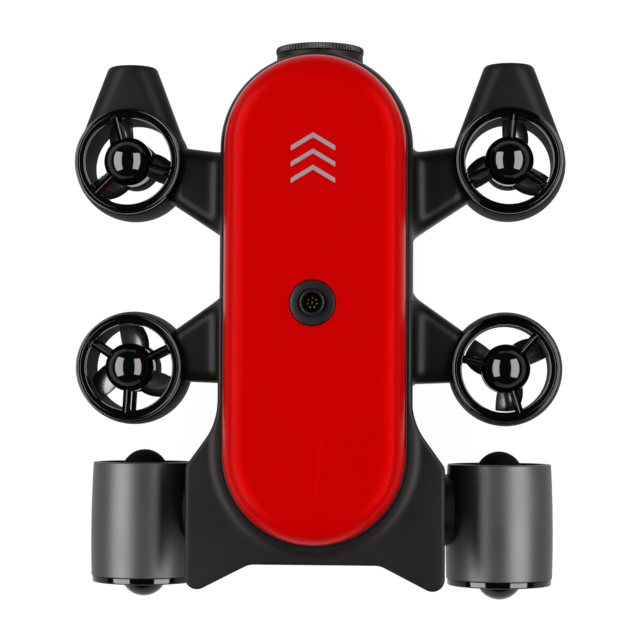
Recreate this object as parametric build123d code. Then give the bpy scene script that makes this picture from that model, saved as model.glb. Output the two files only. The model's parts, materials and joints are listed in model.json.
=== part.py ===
from build123d import *
from math import asin, atan2, cos, radians, sin, tan
import os

# Compact six-thruster underwater inspection vehicle, about 390 mm long, 347 mm wide and 165 mm tall.
#
# A stadium-shaped pressure hull stands on its flat bottom pan. Its red top cover carries the tether socket,
# its nose holds the camera behind a knurled ring, and its tail spreads into a flat fin. Four arms carry
# vertical ducted thrusters, the front two with lamp pods ahead of them, and two struts carry the
# horizontal thrusters beside the tail. Lengths are millimetres: +X starboard, +Y ahead, +Z up, and the
# origin is under the middle of the vehicle, on the surface that it stands on.

# Whole vehicle
overall_length = 390.0
mid_plane_z = 95.0  # height of the lamp axes and of the arms
seam_gap = 0.05  # assembly clearance between pieces that fit into each other

# Hull
hull_half_width = 66.8  # at the shoulder
hull_foot_half_width = 65.2  # at the pan: the side leans in a little on its way down
nose_setback = 7.2  # from the camera ring's front to the hull's round nose
stern_setback = 38.2  # from the rear end of the tail thrusters to the hull's round stern
hull_wall = 3.5  # at the foot, where it is thinnest
pan_height = 24.0
pan_edge_radius = 22.0
gasket_height = 1.0
gasket_width = 2.0
shoulder_z = 122.0  # where the upright side starts to lean in
rim_z = 136.0
rim_half_width = 63.6

# Red top cover
cover_half_width = 62.3
cover_top_z = 159.5
cover_wall = 2.8
groove_front_setback = 46.0  # behind the tether connector
groove_rear_reach = 37.0  # behind the centre of the hull's round stern
groove_front_radius = 11.6
groove_rear_radius = 4.2
groove_depth = 1.5
groove_tilt = 0.8
groove_draft = 55.0

# Tether connector in the cover
connector_setback = 3.5  # behind the middle of the hull
connector_flange_radius = 15.6
connector_flange_height = 2.6
connector_flange_drop = 1.2  # the flange lies this far below the top of the cover
connector_barrel_radius = 8.05
connector_bore_radius = 6.9
connector_rise = 6.7  # how far the barrel stands above the cover
connector_seat_height = 9.0
connector_insert_height = 4.0
pin_radius = 0.55
pin_circle_radius = 3.3
pin_count = 7
pin_length = 3.0

# Camera in the nose
camera_z = 93.0
port_radius = 30.5
port_bore_radius = 26.8
port_depth = 26.0  # how far the port reaches in from the hull's nose
ring_radius = 31.0
ring_length = 4.4
ring_bore_radius = 24.2
knurl_count = 84
knurl_depth = 0.55
window_thickness = 4.0
camera_barrel_wall = 2.4
camera_barrel_length = 46.0
lens_radius = 13.0
lens_length = 24.0
lens_dome = 3.2

# Tail fin
fin_half_width = 89.4
fin_top_z = 128.0
fin_thickness = 7.0
fin_flare_reach = 22.0  # ahead of the centre of the hull's round stern
fin_shoulder_reach = 9.5  # behind that centre
fin_tip_setback = 5.7  # from the vehicle's rear end
fin_notch_setback = 28.4
fin_notch_half_width = 45.0
fin_skirt_radius = 11.0

# Thruster, shared by all six
duct_bore_radius = 30.4
duct_top_radius = 37.7
duct_lip = 2.2
hub_radius = 17.0
cup_wall = 1.9
vane_thickness = 3.2
vane_chord = 13.0
blade_tip_radius = 29.6
blade_count = 3
blade_tip_half_angle = 15.5
blade_sweep = 2.2  # degrees that the swept edge gains with each millimetre inward
blade_taper = 0.5  # the same for the nearly radial edge
blade_thickness = 1.5
blade_root_pitch = 20.0
blade_tip_pitch = 18.0
propeller_height = 12.0
propeller_gap = 0.8  # running gap above and below the propeller hub
propeller_hub_radius = 16.4
shaft_radius = 2.0
shaft_clearance = 0.05
stator_radius = 10.8
stator_height = 10.0
stator_slots = 9
bell_radius = 14.0
bell_wall = 2.2
air_gap = 0.35
guard_ring_height = 4.5
guard_ring_radius = 37.2
guard_dome_drop = 6.4  # the dome's centre lies this far below the top of the guard ring
spoke_width = 5.6
spoke_height = 6.0
spoke_drop = 2.0  # the spokes' ridges lie this far below the top of the guard ring
gusset_reach = 4.2
gusset_spread = 2.6
gusset_height = 2.0

# Vertical thrusters
vertical_length = 52.5
vertical_top_z = 117.5
vertical_duct_radius = 40.0
vertical_duct_foot_radius = 38.4
vertical_cup_floor = 10.5
vertical_cup_shoulder = 8.5
vertical_cup_nose = 7.0
front_thruster_x = 133.2
front_thruster_setback = 7.8  # behind the centre of the hull's round nose
rear_thruster_x = 131.0
rear_thruster_share = 0.682  # of the way from the front thrusters back to the tail thrusters' intakes

# Horizontal thrusters
tail_length = 86.0
tail_duct_radius = 38.2
tail_duct_end_radius = 37.0
tail_cup_floor = 38.0
tail_cup_shoulder = 8.0
tail_thruster_x = 127.8
tail_thruster_z = 58.0
strut_setback = 32.8  # behind the tail thrusters' intakes
strut_width = 51.0
strut_height = 56.0

# Lamp pods ahead of the front thrusters
pod_reach = 68.6  # from the thruster's axis to the pod's front
pod_front_radius = 17.1
pod_half_angle = 20.6
pod_height = 39.0
pod_sink = 1.2  # how far the pod's sides start inside the duct's side
pod_front_flat = 0.8
lamp_bore_radius = 13.3
lamp_bore_depth = 27.0
lamp_lens_thickness = 3.0
lamp_lens_dome = 0.8
lamp_board_thickness = 3.0

# Arms: each station is (distance out from the hull's side, how far the front and rear edges lie ahead of
# the thruster's axis, height)
front_arm_stations = [
    (-1.5, 12.5, -56.0, 56.0),
    (3.0, 9.3, -51.2, 43.0),
    (11.0, 8.9, -45.8, 35.0),
    (33.0, 11.0, -30.8, 31.0),
]
rear_arm_stations = [
    (-1.5, 55.0, -16.0, 56.0),
    (3.0, 49.3, -11.6, 43.0),
    (11.0, 43.4, -10.4, 35.0),
    (33.0, 28.9, -10.0, 31.0),
]
arm_corner_radius = 12.0

# Fasteners and inner pieces
screw_radius = 2.0
screw_head_radius = 3.6
screw_head_height = 2.4
boss_radius = 5.2
pan_boss_x = 52.0
pan_screw_setback = 20.5  # from the centres of the hull's round ends
pan_rib_spacing = 65.0
pan_rib_thickness = 3.0
arm_screw_depth = 9.0
arm_screw_spacing_y = 34.0
arm_screw_spacing_z = 24.0
insert_spacing_x = 40.0
insert_spacing_y = 60.0
insert_setback = 61.0  # behind the centre of the hull's round nose
insert_bore_radius = 1.65
insert_radius = 3.2
insert_length = 8.0
ledge_top_z = 74.0
tray_thickness = 2.5
battery_size = (84.0, 176.0, 46.0)
battery_bottom_z = 10.0
board_size = (84.0, 92.0, 1.6)
board_post_height = 5.0
board_post_inset = 6.0
controller_size = (24.0, 18.0, 7.0)
controller_spacing = 34.0
controller_gap = 4.0  # between the main board and the rows of controllers

hull_front_centre_y = overall_length / 2 - nose_setback - hull_half_width
hull_rear_centre_y = -overall_length / 2 + stern_setback + hull_half_width
hull_straight = hull_front_centre_y - hull_rear_centre_y
hull_centre_y = (hull_front_centre_y + hull_rear_centre_y) / 2
hull_inner_half_width = hull_foot_half_width - hull_wall
hull_bottom_z = pan_height + gasket_height
cover_bottom_z = rim_z + gasket_height
lens_ring_front_y = overall_length / 2
duct_bottom_z = vertical_top_z - vertical_length
tail_intake_y = -overall_length / 2 + (hub_radius - guard_dome_drop) + tail_length
front_thruster_y = hull_front_centre_y - front_thruster_setback
rear_thruster_y = front_thruster_y + rear_thruster_share * (tail_intake_y - front_thruster_y)
pod_front_y = front_thruster_y + pod_reach
strut_y = tail_intake_y - strut_setback
connector_y = hull_centre_y - connector_setback
groove_front_y = connector_y - groove_front_setback
groove_rear_y = hull_rear_centre_y - groove_rear_reach
fin_flare_y = hull_rear_centre_y + fin_flare_reach
fin_shoulder_y = hull_rear_centre_y - fin_shoulder_reach
fin_tip_y = -overall_length / 2 + fin_tip_setback
fin_notch_y = -overall_length / 2 + fin_notch_setback
port_rear_y = hull_front_centre_y + hull_half_width - port_depth
insert_y = hull_front_centre_y - insert_setback
pan_screw_ys = (hull_rear_centre_y + pan_screw_setback, hull_centre_y, hull_front_centre_y - pan_screw_setback)
upright = Axis((0, 0, 0), (0, 0, 1))


def across(y):
    """A plane square to the vehicle's length, whose own x and y are the vehicle's X and Z."""
    return Plane(origin=(0, y, 0), x_dir=(1, 0, 0), z_dir=(0, -1, 0))


def beside(x):
    """A plane square to the vehicle's width, whose own x and y are the vehicle's Y and Z."""
    return Plane(origin=(x, 0, 0), x_dir=(0, 1, 0), z_dir=(1, 0, 0))


def round_about(section, y=0.0, angle=360.0):
    """Turns a section of the XZ plane about the upright axis at that y."""
    placed = across(y) * section
    return revolve(placed, Axis((0, y, 0), (0, 0, 1)), angle)


def round_stadium(section):
    """Carries a half section round the hull's stadium outline."""
    side = extrude(across(hull_front_centre_y) * section, hull_straight)
    front = round_about(section, hull_front_centre_y, 180)
    rear = round_about(section, hull_rear_centre_y, -180)
    return side + mirror(side, Plane.YZ) + front + rear


def rod(radius, x, y, bottom, top):
    """An upright cylinder between two heights."""
    return Pos(x, y, bottom) * Cylinder(
        radius, top - bottom, align=(Align.CENTER, Align.CENTER, Align.MIN)
    )


def rod_ahead(radius, x, z, rear, front):
    """A cylinder along the vehicle's length, between two stations."""
    lying = Pos(x, rear, z) * Rot(-90, 0, 0)
    return lying * Cylinder(radius, front - rear, align=(Align.CENTER, Align.CENTER, Align.MIN))


def cap(radius, foot, rise):
    """The arc over a round cap from its edge to the axis, centred on the axis; a negative rise hangs down."""
    ball = (radius**2 + rise**2) / (2 * rise)
    centre = foot + rise - ball
    half_angle = asin(radius / ball) / 2
    middle = (ball * sin(half_angle), centre + ball * cos(half_angle))
    return ThreePointArc((radius, foot), middle, (0, foot + rise))


def block(x_size, y_size, z_size, x, y, bottom):
    """An upright block centred on x and y, standing at a height."""
    return Pos(x, y, bottom) * Box(
        x_size, y_size, z_size, align=(Align.CENTER, Align.CENTER, Align.MIN)
    )


def hull_side():
    """The section line of the hull's side: nearly upright, then leaning in from the shoulder to the rim."""
    draft = (hull_half_width - hull_foot_half_width, shoulder_z - hull_bottom_z)
    return [
        Line((hull_foot_half_width, hull_bottom_z), (hull_half_width, shoulder_z)),
        TangentArc((hull_half_width, shoulder_z), (rim_half_width, rim_z), tangent=draft),
    ]


def hull_outside():
    """The hull's outer form, from its base to its rim, as a solid."""
    edges = [
        Line((0, hull_bottom_z), (hull_foot_half_width, hull_bottom_z)),
        *hull_side(),
        Line((rim_half_width, rim_z), (0, rim_z)),
        Line((0, rim_z), (0, hull_bottom_z)),
    ]
    return round_stadium(make_face(edges))


def hull_wall_ring():
    """The hull's upright wall, open above for the cover and below for the pan."""
    inner = hull_inner_half_width
    rim_inner = rim_half_width - hull_wall
    edges = [
        Line((inner, hull_bottom_z), (hull_foot_half_width, hull_bottom_z)),
        *hull_side(),
        Line((rim_half_width, rim_z), (rim_inner, rim_z)),
        Line((rim_inner, rim_z), (inner, shoulder_z)),
        Line((inner, shoulder_z), (inner, hull_bottom_z)),
    ]
    return round_stadium(make_face(edges))


def fin_outline():
    """The tail fin seen from above, its two sides alike."""
    starboard = [
        (hull_inner_half_width, hull_centre_y),
        (hull_half_width, hull_centre_y),
        (hull_half_width, fin_flare_y),
        (fin_half_width, fin_shoulder_y),
        (fin_half_width, fin_tip_y),
        (fin_notch_half_width, fin_notch_y),
        (0, fin_notch_y),
    ]
    radii = [0.0, 46.0, 9.0, 8.5, 14.0]
    corners = FilletPolyline(*starboard[1:], radius=radii[1:])
    edges = [
        Line(starboard[0], starboard[1]),
        corners,
        Line(starboard[-1], (0, hull_centre_y)),
        Line((0, hull_centre_y), starboard[0]),
    ]
    half = make_face(edges)
    return half + mirror(half, Plane.YZ)


def tail_fin():
    """The flat fin with the hollow curve that leads up to the hull's rim."""
    outline = fin_outline()
    plate = extrude(Pos(0, 0, fin_top_z - fin_thickness) * outline, fin_thickness)
    plate = fillet(plate.edges().filter_by(lambda e: is_fin_border(e)), 1.2)
    skirt_top = fin_top_z + fin_skirt_radius * 0.66
    foot = rim_half_width + fin_skirt_radius
    arc = TangentArc((foot, fin_top_z), (rim_half_width + 0.6, skirt_top), tangent=(-1, 0))
    inner = rim_half_width - hull_wall
    edges = [
        arc,
        Line((rim_half_width + 0.6, skirt_top), (inner, skirt_top)),
        Line((inner, skirt_top), (inner, fin_top_z - 1)),
        Line((inner, fin_top_z - 1), (foot, fin_top_z - 1)),
        Line((foot, fin_top_z - 1), (foot, fin_top_z)),
    ]
    skirt = round_stadium(make_face(edges))
    reach = extrude(Pos(0, 0, fin_top_z - 1) * outline, fin_skirt_radius)
    return plate + (skirt & reach)


def is_fin_border(edge):
    """True for an edge of the fin's top or bottom face that lies outside the hull."""
    middle = edge @ 0.5
    level = abs((edge @ 0).Z - (edge @ 1).Z) < 1e-6
    return level and middle.Y < fin_flare_y + 8 and abs(middle.X) + abs(middle.Y) > 1


def main_hull():
    """The pressure hull with its tail fin, camera port, screw bosses and tray ledges."""
    hull = hull_wall_ring()
    inside = extrude(
        Pos(0, hull_centre_y, 0) * SlotCenterToCenter(hull_straight, 2 * (rim_half_width - hull_wall), 90),
        rim_z + 20,
    )
    hull += tail_fin() - inside
    port_front_y = lens_ring_front_y - ring_length
    hull += rod_ahead(port_radius, 0, camera_z, port_rear_y, port_front_y)
    hull -= rod_ahead(port_bore_radius, 0, camera_z, port_rear_y - 1, port_front_y + 1)
    for side in (-1, 1):
        for y in pan_screw_ys:
            boss = rod(boss_radius, side * pan_boss_x, y, hull_bottom_z, hull_bottom_z + 22)
            web_length = hull_foot_half_width - pan_boss_x - hull_wall / 2
            boss += block(web_length, 4, 22, side * (pan_boss_x + web_length / 2), y, hull_bottom_z)
            hull += boss - rod(screw_radius + seam_gap, side * pan_boss_x, y, 0, hull_bottom_z + 16)
            ledge = block(14, 16, 6, side * (hull_inner_half_width - 5), y, ledge_top_z - 6)
            hull += ledge
        for root_y in arm_root_ys():
            for y, z in arm_screw_points(root_y):
                hull -= screw_hole(side, y, z, hull_inner_half_width - 1, hull_half_width + 1)
    return hull


def arm_root_y(thruster_y, stations):
    """The middle of an arm's foot along the hull."""
    return thruster_y + (stations[0][1] + stations[0][2]) / 2


def arm_root_ys():
    """The middles of the front and the rear arm's foot."""
    return (arm_root_y(front_thruster_y, front_arm_stations), arm_root_y(rear_thruster_y, rear_arm_stations))


def arm_screw_points(centre_y):
    """The four screw places, as (y, z), in the foot of one arm."""
    return [
        (centre_y + a * arm_screw_spacing_y / 2, mid_plane_z + b * arm_screw_spacing_z / 2)
        for a in (-1, 1)
        for b in (-1, 1)
    ]


def screw_hole(side, y, z, start, end):
    """A hole for an arm screw, square to the hull's side."""
    hole = Pos(start, y, z) * Rot(0, 90, 0) * Cylinder(
        screw_radius + seam_gap, end - start, align=(Align.CENTER, Align.CENTER, Align.MIN)
    )
    return hole if side > 0 else mirror(hole, Plane.YZ)


def bottom_pan():
    """The pan that closes the hull from below and that the vehicle stands on."""
    inner_radius = pan_edge_radius - hull_wall
    edge = hull_foot_half_width
    flat = edge - pan_edge_radius
    outer = TangentArc((flat, 0), (edge, pan_edge_radius), tangent=(1, 0))
    inner = TangentArc((flat, hull_wall), (flat + inner_radius, hull_wall + inner_radius), tangent=(1, 0))
    edges = [
        Line((0, 0), (flat, 0)),
        outer,
        Line((edge, pan_edge_radius), (edge, pan_height)),
        Line((edge, pan_height), (edge - hull_wall, pan_height)),
        Line((edge - hull_wall, pan_height), (edge - hull_wall, pan_edge_radius)),
        inner,
        Line((flat, hull_wall), (0, hull_wall)),
        Line((0, hull_wall), (0, 0)),
    ]
    pan = round_stadium(make_face(edges))
    for k in (-1, 0, 1):
        rib_y = hull_centre_y + k * pan_rib_spacing
        pan += block(2 * flat + 8, pan_rib_thickness, battery_bottom_z - 1, 0, rib_y, 1)
    for side in (-1, 1):
        for y in pan_screw_ys:
            x = side * pan_boss_x
            pan += rod(boss_radius, x, y, 7, pan_height) & pan_outside()
            pan -= rod(screw_radius + seam_gap, x, y, 0, pan_height + 1)
            pan -= rod(screw_head_radius + 0.3, x, y, -1, 14)
        for end in (-1, 1):
            x = side * insert_spacing_x / 2
            y = insert_y + end * insert_spacing_y / 2
            pan += rod(insert_radius + 2, x, y, 1, insert_length + 1)
            pan -= rod(insert_radius, x, y, -1, insert_length)
    return pan


def pan_outside():
    """The pan's outer form as a solid."""
    edge = hull_foot_half_width
    flat = edge - pan_edge_radius
    edges = [
        Line((0, 0), (flat, 0)),
        TangentArc((flat, 0), (edge, pan_edge_radius), tangent=(1, 0)),
        Line((edge, pan_edge_radius), (edge, pan_height)),
        Line((edge, pan_height), (0, pan_height)),
        Line((0, pan_height), (0, 0)),
    ]
    return round_stadium(make_face(edges))


def flat_gasket(half_width, bottom):
    """A flat gasket that follows the hull's outline between two faces."""
    outer = SlotCenterToCenter(hull_straight, 2 * half_width, 90)
    inner = SlotCenterToCenter(hull_straight, 2 * (half_width - gasket_width), 90)
    return extrude(Pos(0, hull_centre_y, bottom) * (outer - inner), gasket_height)


def cover_curve(inset):
    """The cover's section line, from its edge up and over to the middle, moved in by inset."""
    edge = cover_half_width - inset
    top = cover_top_z - inset
    rise = top - cover_bottom_z
    return Bezier((edge, cover_bottom_z), (edge, cover_bottom_z + 0.7 * rise), (0.8 * edge, top), (0, top))


def top_cover():
    """The crowned red cover with the seat for the tether connector and the groove behind it."""
    edges = [
        cover_curve(0),
        Line((0, cover_top_z), (0, cover_top_z - cover_wall)),
        cover_curve(cover_wall),
        Line((cover_half_width - cover_wall, cover_bottom_z), (cover_half_width, cover_bottom_z)),
    ]
    cover = round_stadium(make_face(edges))
    seat_z = cover_top_z - connector_flange_drop - connector_flange_height
    seat_radius = connector_flange_radius + cover_wall
    cover += rod(seat_radius, 0, connector_y, seat_z - cover_wall, cover_top_z - cover_wall / 2)
    cover -= rod(connector_flange_radius + seam_gap, 0, connector_y, seat_z, cover_top_z + 1)
    cover -= rod(connector_barrel_radius + seam_gap, 0, connector_y, seat_z - 10, seat_z + 1)
    return cover - tether_groove()


def tether_groove():
    """The shallow tapering groove in which the tether leaves over the stern."""
    length = groove_front_y - groove_rear_y
    spread = atan2(groove_front_radius - groove_rear_radius, length)
    lean = (cos(spread), -sin(spread))
    front = (groove_front_radius * lean[0], groove_front_y - groove_front_radius * lean[1])
    rear = (groove_rear_radius * lean[0], groove_rear_y - groove_rear_radius * lean[1])
    side = [
        Line(front, rear),
        ThreePointArc(rear, (0, groove_rear_y - groove_rear_radius), (-rear[0], rear[1])),
        Line((-rear[0], rear[1]), (-front[0], front[1])),
        ThreePointArc((-front[0], front[1]), (0, groove_front_y + groove_front_radius), front),
    ]
    floor_height = cover_top_z - groove_depth
    outline = make_face(side)
    cutter = extrude(Pos(0, 0, floor_height) * outline, 4.0, taper=-groove_draft)
    tilt = Pos(0, groove_front_y, floor_height) * Rot(groove_tilt, 0, 0) * Pos(0, -groove_front_y, -floor_height)
    return tilt * cutter


def tether_connector():
    """The bulkhead connector: a flange in the cover, a barrel above it and a threaded stem below."""
    flange_z = cover_top_z - connector_flange_drop - connector_flange_height
    top = cover_top_z + connector_rise - connector_flange_drop
    body = rod(connector_flange_radius, 0, connector_y, flange_z, flange_z + connector_flange_height)
    body = chamfer(body.edges().group_by(Axis.Z)[-1], 0.6)
    barrel = rod(connector_barrel_radius, 0, connector_y, flange_z - connector_seat_height, top)
    body += chamfer(barrel.edges().group_by(Axis.Z)[-1], 0.5)
    return body - rod(connector_bore_radius, 0, connector_y, flange_z - connector_seat_height - 1, top + 1)


def connector_insert():
    """The insulator that holds the contact pins, low in the connector's barrel."""
    flange_z = cover_top_z - connector_flange_drop - connector_flange_height
    insert = rod(connector_bore_radius - seam_gap, 0, connector_y, flange_z - 4, flange_z)
    insert += rod(pin_circle_radius + 1.2, 0, connector_y, flange_z - 4, flange_z + connector_insert_height - 2.8)
    for x, y in pin_places():
        insert -= rod(pin_radius, x, y, flange_z - 5, flange_z + connector_insert_height)
    return insert


def pin_places():
    """Where the contact pins stand: one in the middle and the rest on a circle."""
    ring = [
        (pin_circle_radius * cos(radians(90 + 360 * k / pin_count)),
         connector_y + pin_circle_radius * sin(radians(90 + 360 * k / pin_count)))
        for k in range(pin_count)
    ]
    return [(0, connector_y)] + ring


def connector_pins():
    """The contact pins, which stand a little above the insulator."""
    flange_z = cover_top_z - connector_flange_drop - connector_flange_height
    top = flange_z + connector_insert_height - 2.8
    return Compound([rod(pin_radius, x, y, flange_z - 6, top + pin_length - 1.0) for x, y in pin_places()])


def connector_nut():
    """The hexagonal nut that clamps the connector to the cover from inside."""
    seat_under = cover_top_z - connector_flange_drop - connector_flange_height - cover_wall
    plan = RegularPolygon(12.0, 6) - Circle(connector_barrel_radius + seam_gap)
    return extrude(Pos(0, connector_y, seat_under - 4.0) * plan, 4.0)


def lens_ring():
    """The knurled ring that clamps the camera's window to the port."""
    rear = lens_ring_front_y - ring_length
    ring = rod_ahead(ring_radius, 0, camera_z, rear, lens_ring_front_y)
    ring = chamfer(ring.edges().group_by(Axis.Y)[-1], 0.5)
    ring -= rod_ahead(ring_bore_radius, 0, camera_z, rear - 1, lens_ring_front_y + 1)
    notch = Pos(ring_radius, 0, 0) * Box(2 * knurl_depth, 1.1, ring_length - 1.4)
    place = Pos(0, rear + ring_length / 2 + 0.4, camera_z) * Rot(-90, 0, 0)
    turn = 360 / knurl_count
    notches = [place * Rot(0, 0, turn * k) * notch for k in range(knurl_count)]
    return ring - notches


def camera_barrel():
    """The tube inside the port, with a flange behind the hull's front wall."""
    front = lens_ring_front_y - ring_length - window_thickness
    rear = front - camera_barrel_length
    outer = port_bore_radius - seam_gap
    tube = rod_ahead(outer, 0, camera_z, rear, front)
    tube += rod_ahead(port_radius, 0, camera_z, port_rear_y - 3, port_rear_y)
    tube -= rod_ahead(outer - camera_barrel_wall, 0, camera_z, rear + 3, front + 1)
    return tube - rod_ahead(4, 0, camera_z, rear - 1, rear + 4)


def camera_window():
    """The flat window in front of the lens, held by the knurled ring."""
    rear = lens_ring_front_y - ring_length - window_thickness
    pane = rod_ahead(port_bore_radius - seam_gap, 0, camera_z, rear, rear + window_thickness)
    return chamfer(pane.edges().group_by(Axis.Y)[-1], 0.3)


def camera_lens():
    """The wide-angle lens: a stepped barrel with a domed front element."""
    front = lens_ring_front_y - ring_length - window_thickness - 3
    rear = front - lens_length
    sensor_radius = lens_radius - 4
    profile = [
        Line((0, 0), (sensor_radius, 0)),
        Line((sensor_radius, 0), (sensor_radius, lens_length * 0.5)),
        Line((sensor_radius, lens_length * 0.5), (lens_radius, lens_length * 0.6)),
        Line((lens_radius, lens_length * 0.6), (lens_radius, lens_length - lens_dome)),
        cap(lens_radius, lens_length - lens_dome, lens_dome),
        Line((0, lens_length), (0, 0)),
    ]
    body = revolve(Plane.XZ * make_face(profile), upright)
    return Pos(0, rear, camera_z) * Rot(-90, 0, 0) * body


def camera_board():
    """The image sensor's board with the post that holds it on the barrel's floor."""
    barrel_rear = lens_ring_front_y - ring_length - window_thickness - camera_barrel_length
    lens_rear = lens_ring_front_y - ring_length - window_thickness - 3 - lens_length
    floor = barrel_rear + 3
    board = Pos(0, lens_rear - 0.8, camera_z) * Box(30, 1.6, 30)
    for side in (-1, 1):
        for height in (-1, 1):
            board += rod_ahead(2, side * 11, camera_z + height * 11, floor, lens_rear - 1.6)
    return board


def duct(length, middle_radius, foot_radius):
    """One thruster's duct below its guard ring, about the upright axis, with its intake at the bottom."""
    top = length - guard_ring_height
    profile = [
        ThreePointArc((foot_radius, 0), (middle_radius, top / 2), (duct_top_radius, top)),
        Line((duct_top_radius, top), (duct_bore_radius, top)),
        Line((duct_bore_radius, top), (duct_bore_radius, duct_lip)),
        RadiusArc((duct_bore_radius, duct_lip), (duct_bore_radius + duct_lip, 0), -duct_lip),
        Line((duct_bore_radius + duct_lip, 0), (foot_radius, 0)),
    ]
    return revolve(Plane.XZ * make_face(profile), upright)


def cup_top(length):
    """The height at which the motor cup ends, under the propeller."""
    return guard_base(length) - 2 * propeller_gap - propeller_height


def guard_base(length):
    """The underside of the guard's hub, above the propeller."""
    return length - guard_dome_drop - 3.0


def motor_cup(length, floor, shoulder, nose):
    """The motor's cup, with its rounded nose hanging from the shoulder."""
    top = cup_top(length)
    profile = [
        cap(hub_radius, shoulder, -nose),
        Line((0, shoulder - nose), (0, floor)),
        Line((0, floor), (hub_radius - cup_wall, floor)),
        Line((hub_radius - cup_wall, floor), (hub_radius - cup_wall, top)),
        Line((hub_radius - cup_wall, top), (hub_radius, top)),
        Line((hub_radius, top), (hub_radius, shoulder)),
    ]
    return revolve(Plane.XZ * make_face(profile), upright)


def vanes(middle, angle):
    """The three streamlined vanes that hold the motor cup in its duct."""
    section = Ellipse(vane_thickness / 2, vane_chord / 2)
    reach = duct_bore_radius - hub_radius + 2
    vane = extrude(Plane(origin=(hub_radius - 1, 0, middle), x_dir=(0, 1, 0), z_dir=(1, 0, 0)) * section, reach)
    return [Rot(0, 0, angle + 120 * k) * vane for k in range(3)]


def propeller(length, angle, hand):
    """One propeller about the upright axis; its blade tips stand at that angle, and hand is its sense of turn."""
    bottom = cup_top(length) + propeller_gap
    hub = rod(propeller_hub_radius, 0, 0, bottom, bottom + propeller_height)
    hub = chamfer(hub.edges().group_by(Axis.Z)[-1], 0.8)
    middle = bottom + propeller_height / 2
    blades = [Rot(0, 0, angle + 360 / blade_count * k) * blade(middle, hand) for k in range(blade_count)]
    whole = hub + blades
    return whole - rod(shaft_radius + seam_gap, 0, 0, bottom - 1, bottom + propeller_height - 3)


def blade(middle, hand):
    """One blade: a broad foot whose swept edge curves in to the narrow tip, which the duct's bore trims."""
    sections = []
    for radius in (propeller_hub_radius - 2.5, 22.5, blade_tip_radius + 1.2):
        inward = blade_tip_radius - radius
        swept_edge = radius * tan(radians(blade_tip_half_angle + blade_sweep * inward))
        straight_edge = -radius * tan(radians(blade_tip_half_angle + blade_taper * inward))
        share = inward / (blade_tip_radius - propeller_hub_radius)
        pitch = blade_tip_pitch + share * (blade_root_pitch - blade_tip_pitch)
        chord = (swept_edge - straight_edge) / cos(radians(pitch))
        foil = Ellipse(chord / 2, blade_thickness * (1 + 0.5 * share) / 2)
        middle_along = hand * (swept_edge + straight_edge) / 2
        along_chord = (0, cos(radians(pitch)), -hand * sin(radians(pitch)))
        plane = Plane(origin=(radius, middle_along, middle), x_dir=along_chord, z_dir=(1, 0, 0))
        sections.append(plane * foil)
    reach = rod(blade_tip_radius, 0, 0, middle - propeller_height / 2, middle + propeller_height / 2)
    return loft(sections) & reach


def stator(length, floor):
    """The wound stator on the cup's floor, with the bearing tube that carries the shaft."""
    base = rod(6.0, 0, 0, floor, floor + 3.0)
    core = rod(stator_radius, 0, 0, floor + 3.0, floor + 3.0 + stator_height)
    slot = Pos(stator_radius - 1.6, 0, floor + 3.0 + stator_height / 2) * Box(5.0, 1.8, stator_height + 1)
    slots = [Rot(0, 0, 360 / stator_slots * k) * slot for k in range(stator_slots)]
    whole = (base + core) - slots
    return whole - rod(shaft_radius + shaft_clearance, 0, 0, floor - 1, floor + stator_height + 4)


def rotor(length, floor):
    """The motor's turning part: a magnet bell over the stator and the shaft up to the propeller."""
    bell_bottom = floor + 3.0
    bell_top = bell_bottom + stator_height + 2.6
    shaft_top = cup_top(length) + propeller_gap + propeller_height - 3.0
    bell = rod(bell_radius, 0, 0, bell_bottom, bell_top)
    bell -= rod(stator_radius + air_gap, 0, 0, bell_bottom - 1, bell_top - 1.8)
    return bell + rod(shaft_radius, 0, 0, floor + 0.4, shaft_top)


def guard(length, angle):
    """The glossy guard on the duct's end: a ring, three ridged spokes and a domed hub."""
    top = length
    bottom = length - guard_ring_height
    outer = guard_ring_radius
    inner = duct_bore_radius
    crown = (outer + inner) / 2 + 0.6
    profile = [
        Line((inner, bottom), (outer, bottom)),
        Line((outer, bottom), (outer, bottom + 1.6)),
        ThreePointArc((outer, bottom + 1.6), (outer - 0.9, top - 0.75), (crown, top)),
        ThreePointArc((crown, top), (inner + 0.75, top - 1.3), (inner, bottom + 1.2)),
        Line((inner, bottom + 1.2), (inner, bottom)),
    ]
    ring = revolve(Plane.XZ * make_face(profile), upright)
    half = spoke_width / 2
    ridge = top - spoke_drop
    foot = ridge - spoke_height
    room = rod(inner - seam_gap, 0, 0, foot, bottom) + rod(crown, 0, 0, bottom, top)
    roof = Polyline(
        (-half, foot + 1.2), (-half * 0.5, foot), (half * 0.5, foot), (half, foot + 1.2),
        (half, ridge - 2.4), (0, ridge), (-half, ridge - 2.4), (-half, foot + 1.2),
    )
    start = hub_radius - 2.0
    section = Plane(origin=(start, 0, 0), x_dir=(0, 1, 0), z_dir=(1, 0, 0)) * make_face(roof)
    gusset = Polyline(
        (inner - gusset_reach, -half), (inner + 1, -half - gusset_spread), (inner + 1, half + gusset_spread),
        (inner - gusset_reach, half), (inner - gusset_reach, -half),
    )
    spoke = extrude(section, inner + 1.0 - start)
    spoke += extrude(Pos(0, 0, bottom) * make_face(gusset), gusset_height)
    spokes = [Rot(0, 0, angle + 120 * k) * (spoke & room) for k in range(3)]
    dome_centre = top - guard_dome_drop
    base = guard_base(length)
    dome = [
        Line((0, base), (hub_radius, base)),
        Line((hub_radius, base), (hub_radius, dome_centre)),
        cap(hub_radius, dome_centre, hub_radius),
        Line((0, dome_centre + hub_radius), (0, base)),
    ]
    hub = revolve(Plane.XZ * make_face(dome), upright)
    return ring + spokes + hub


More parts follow.
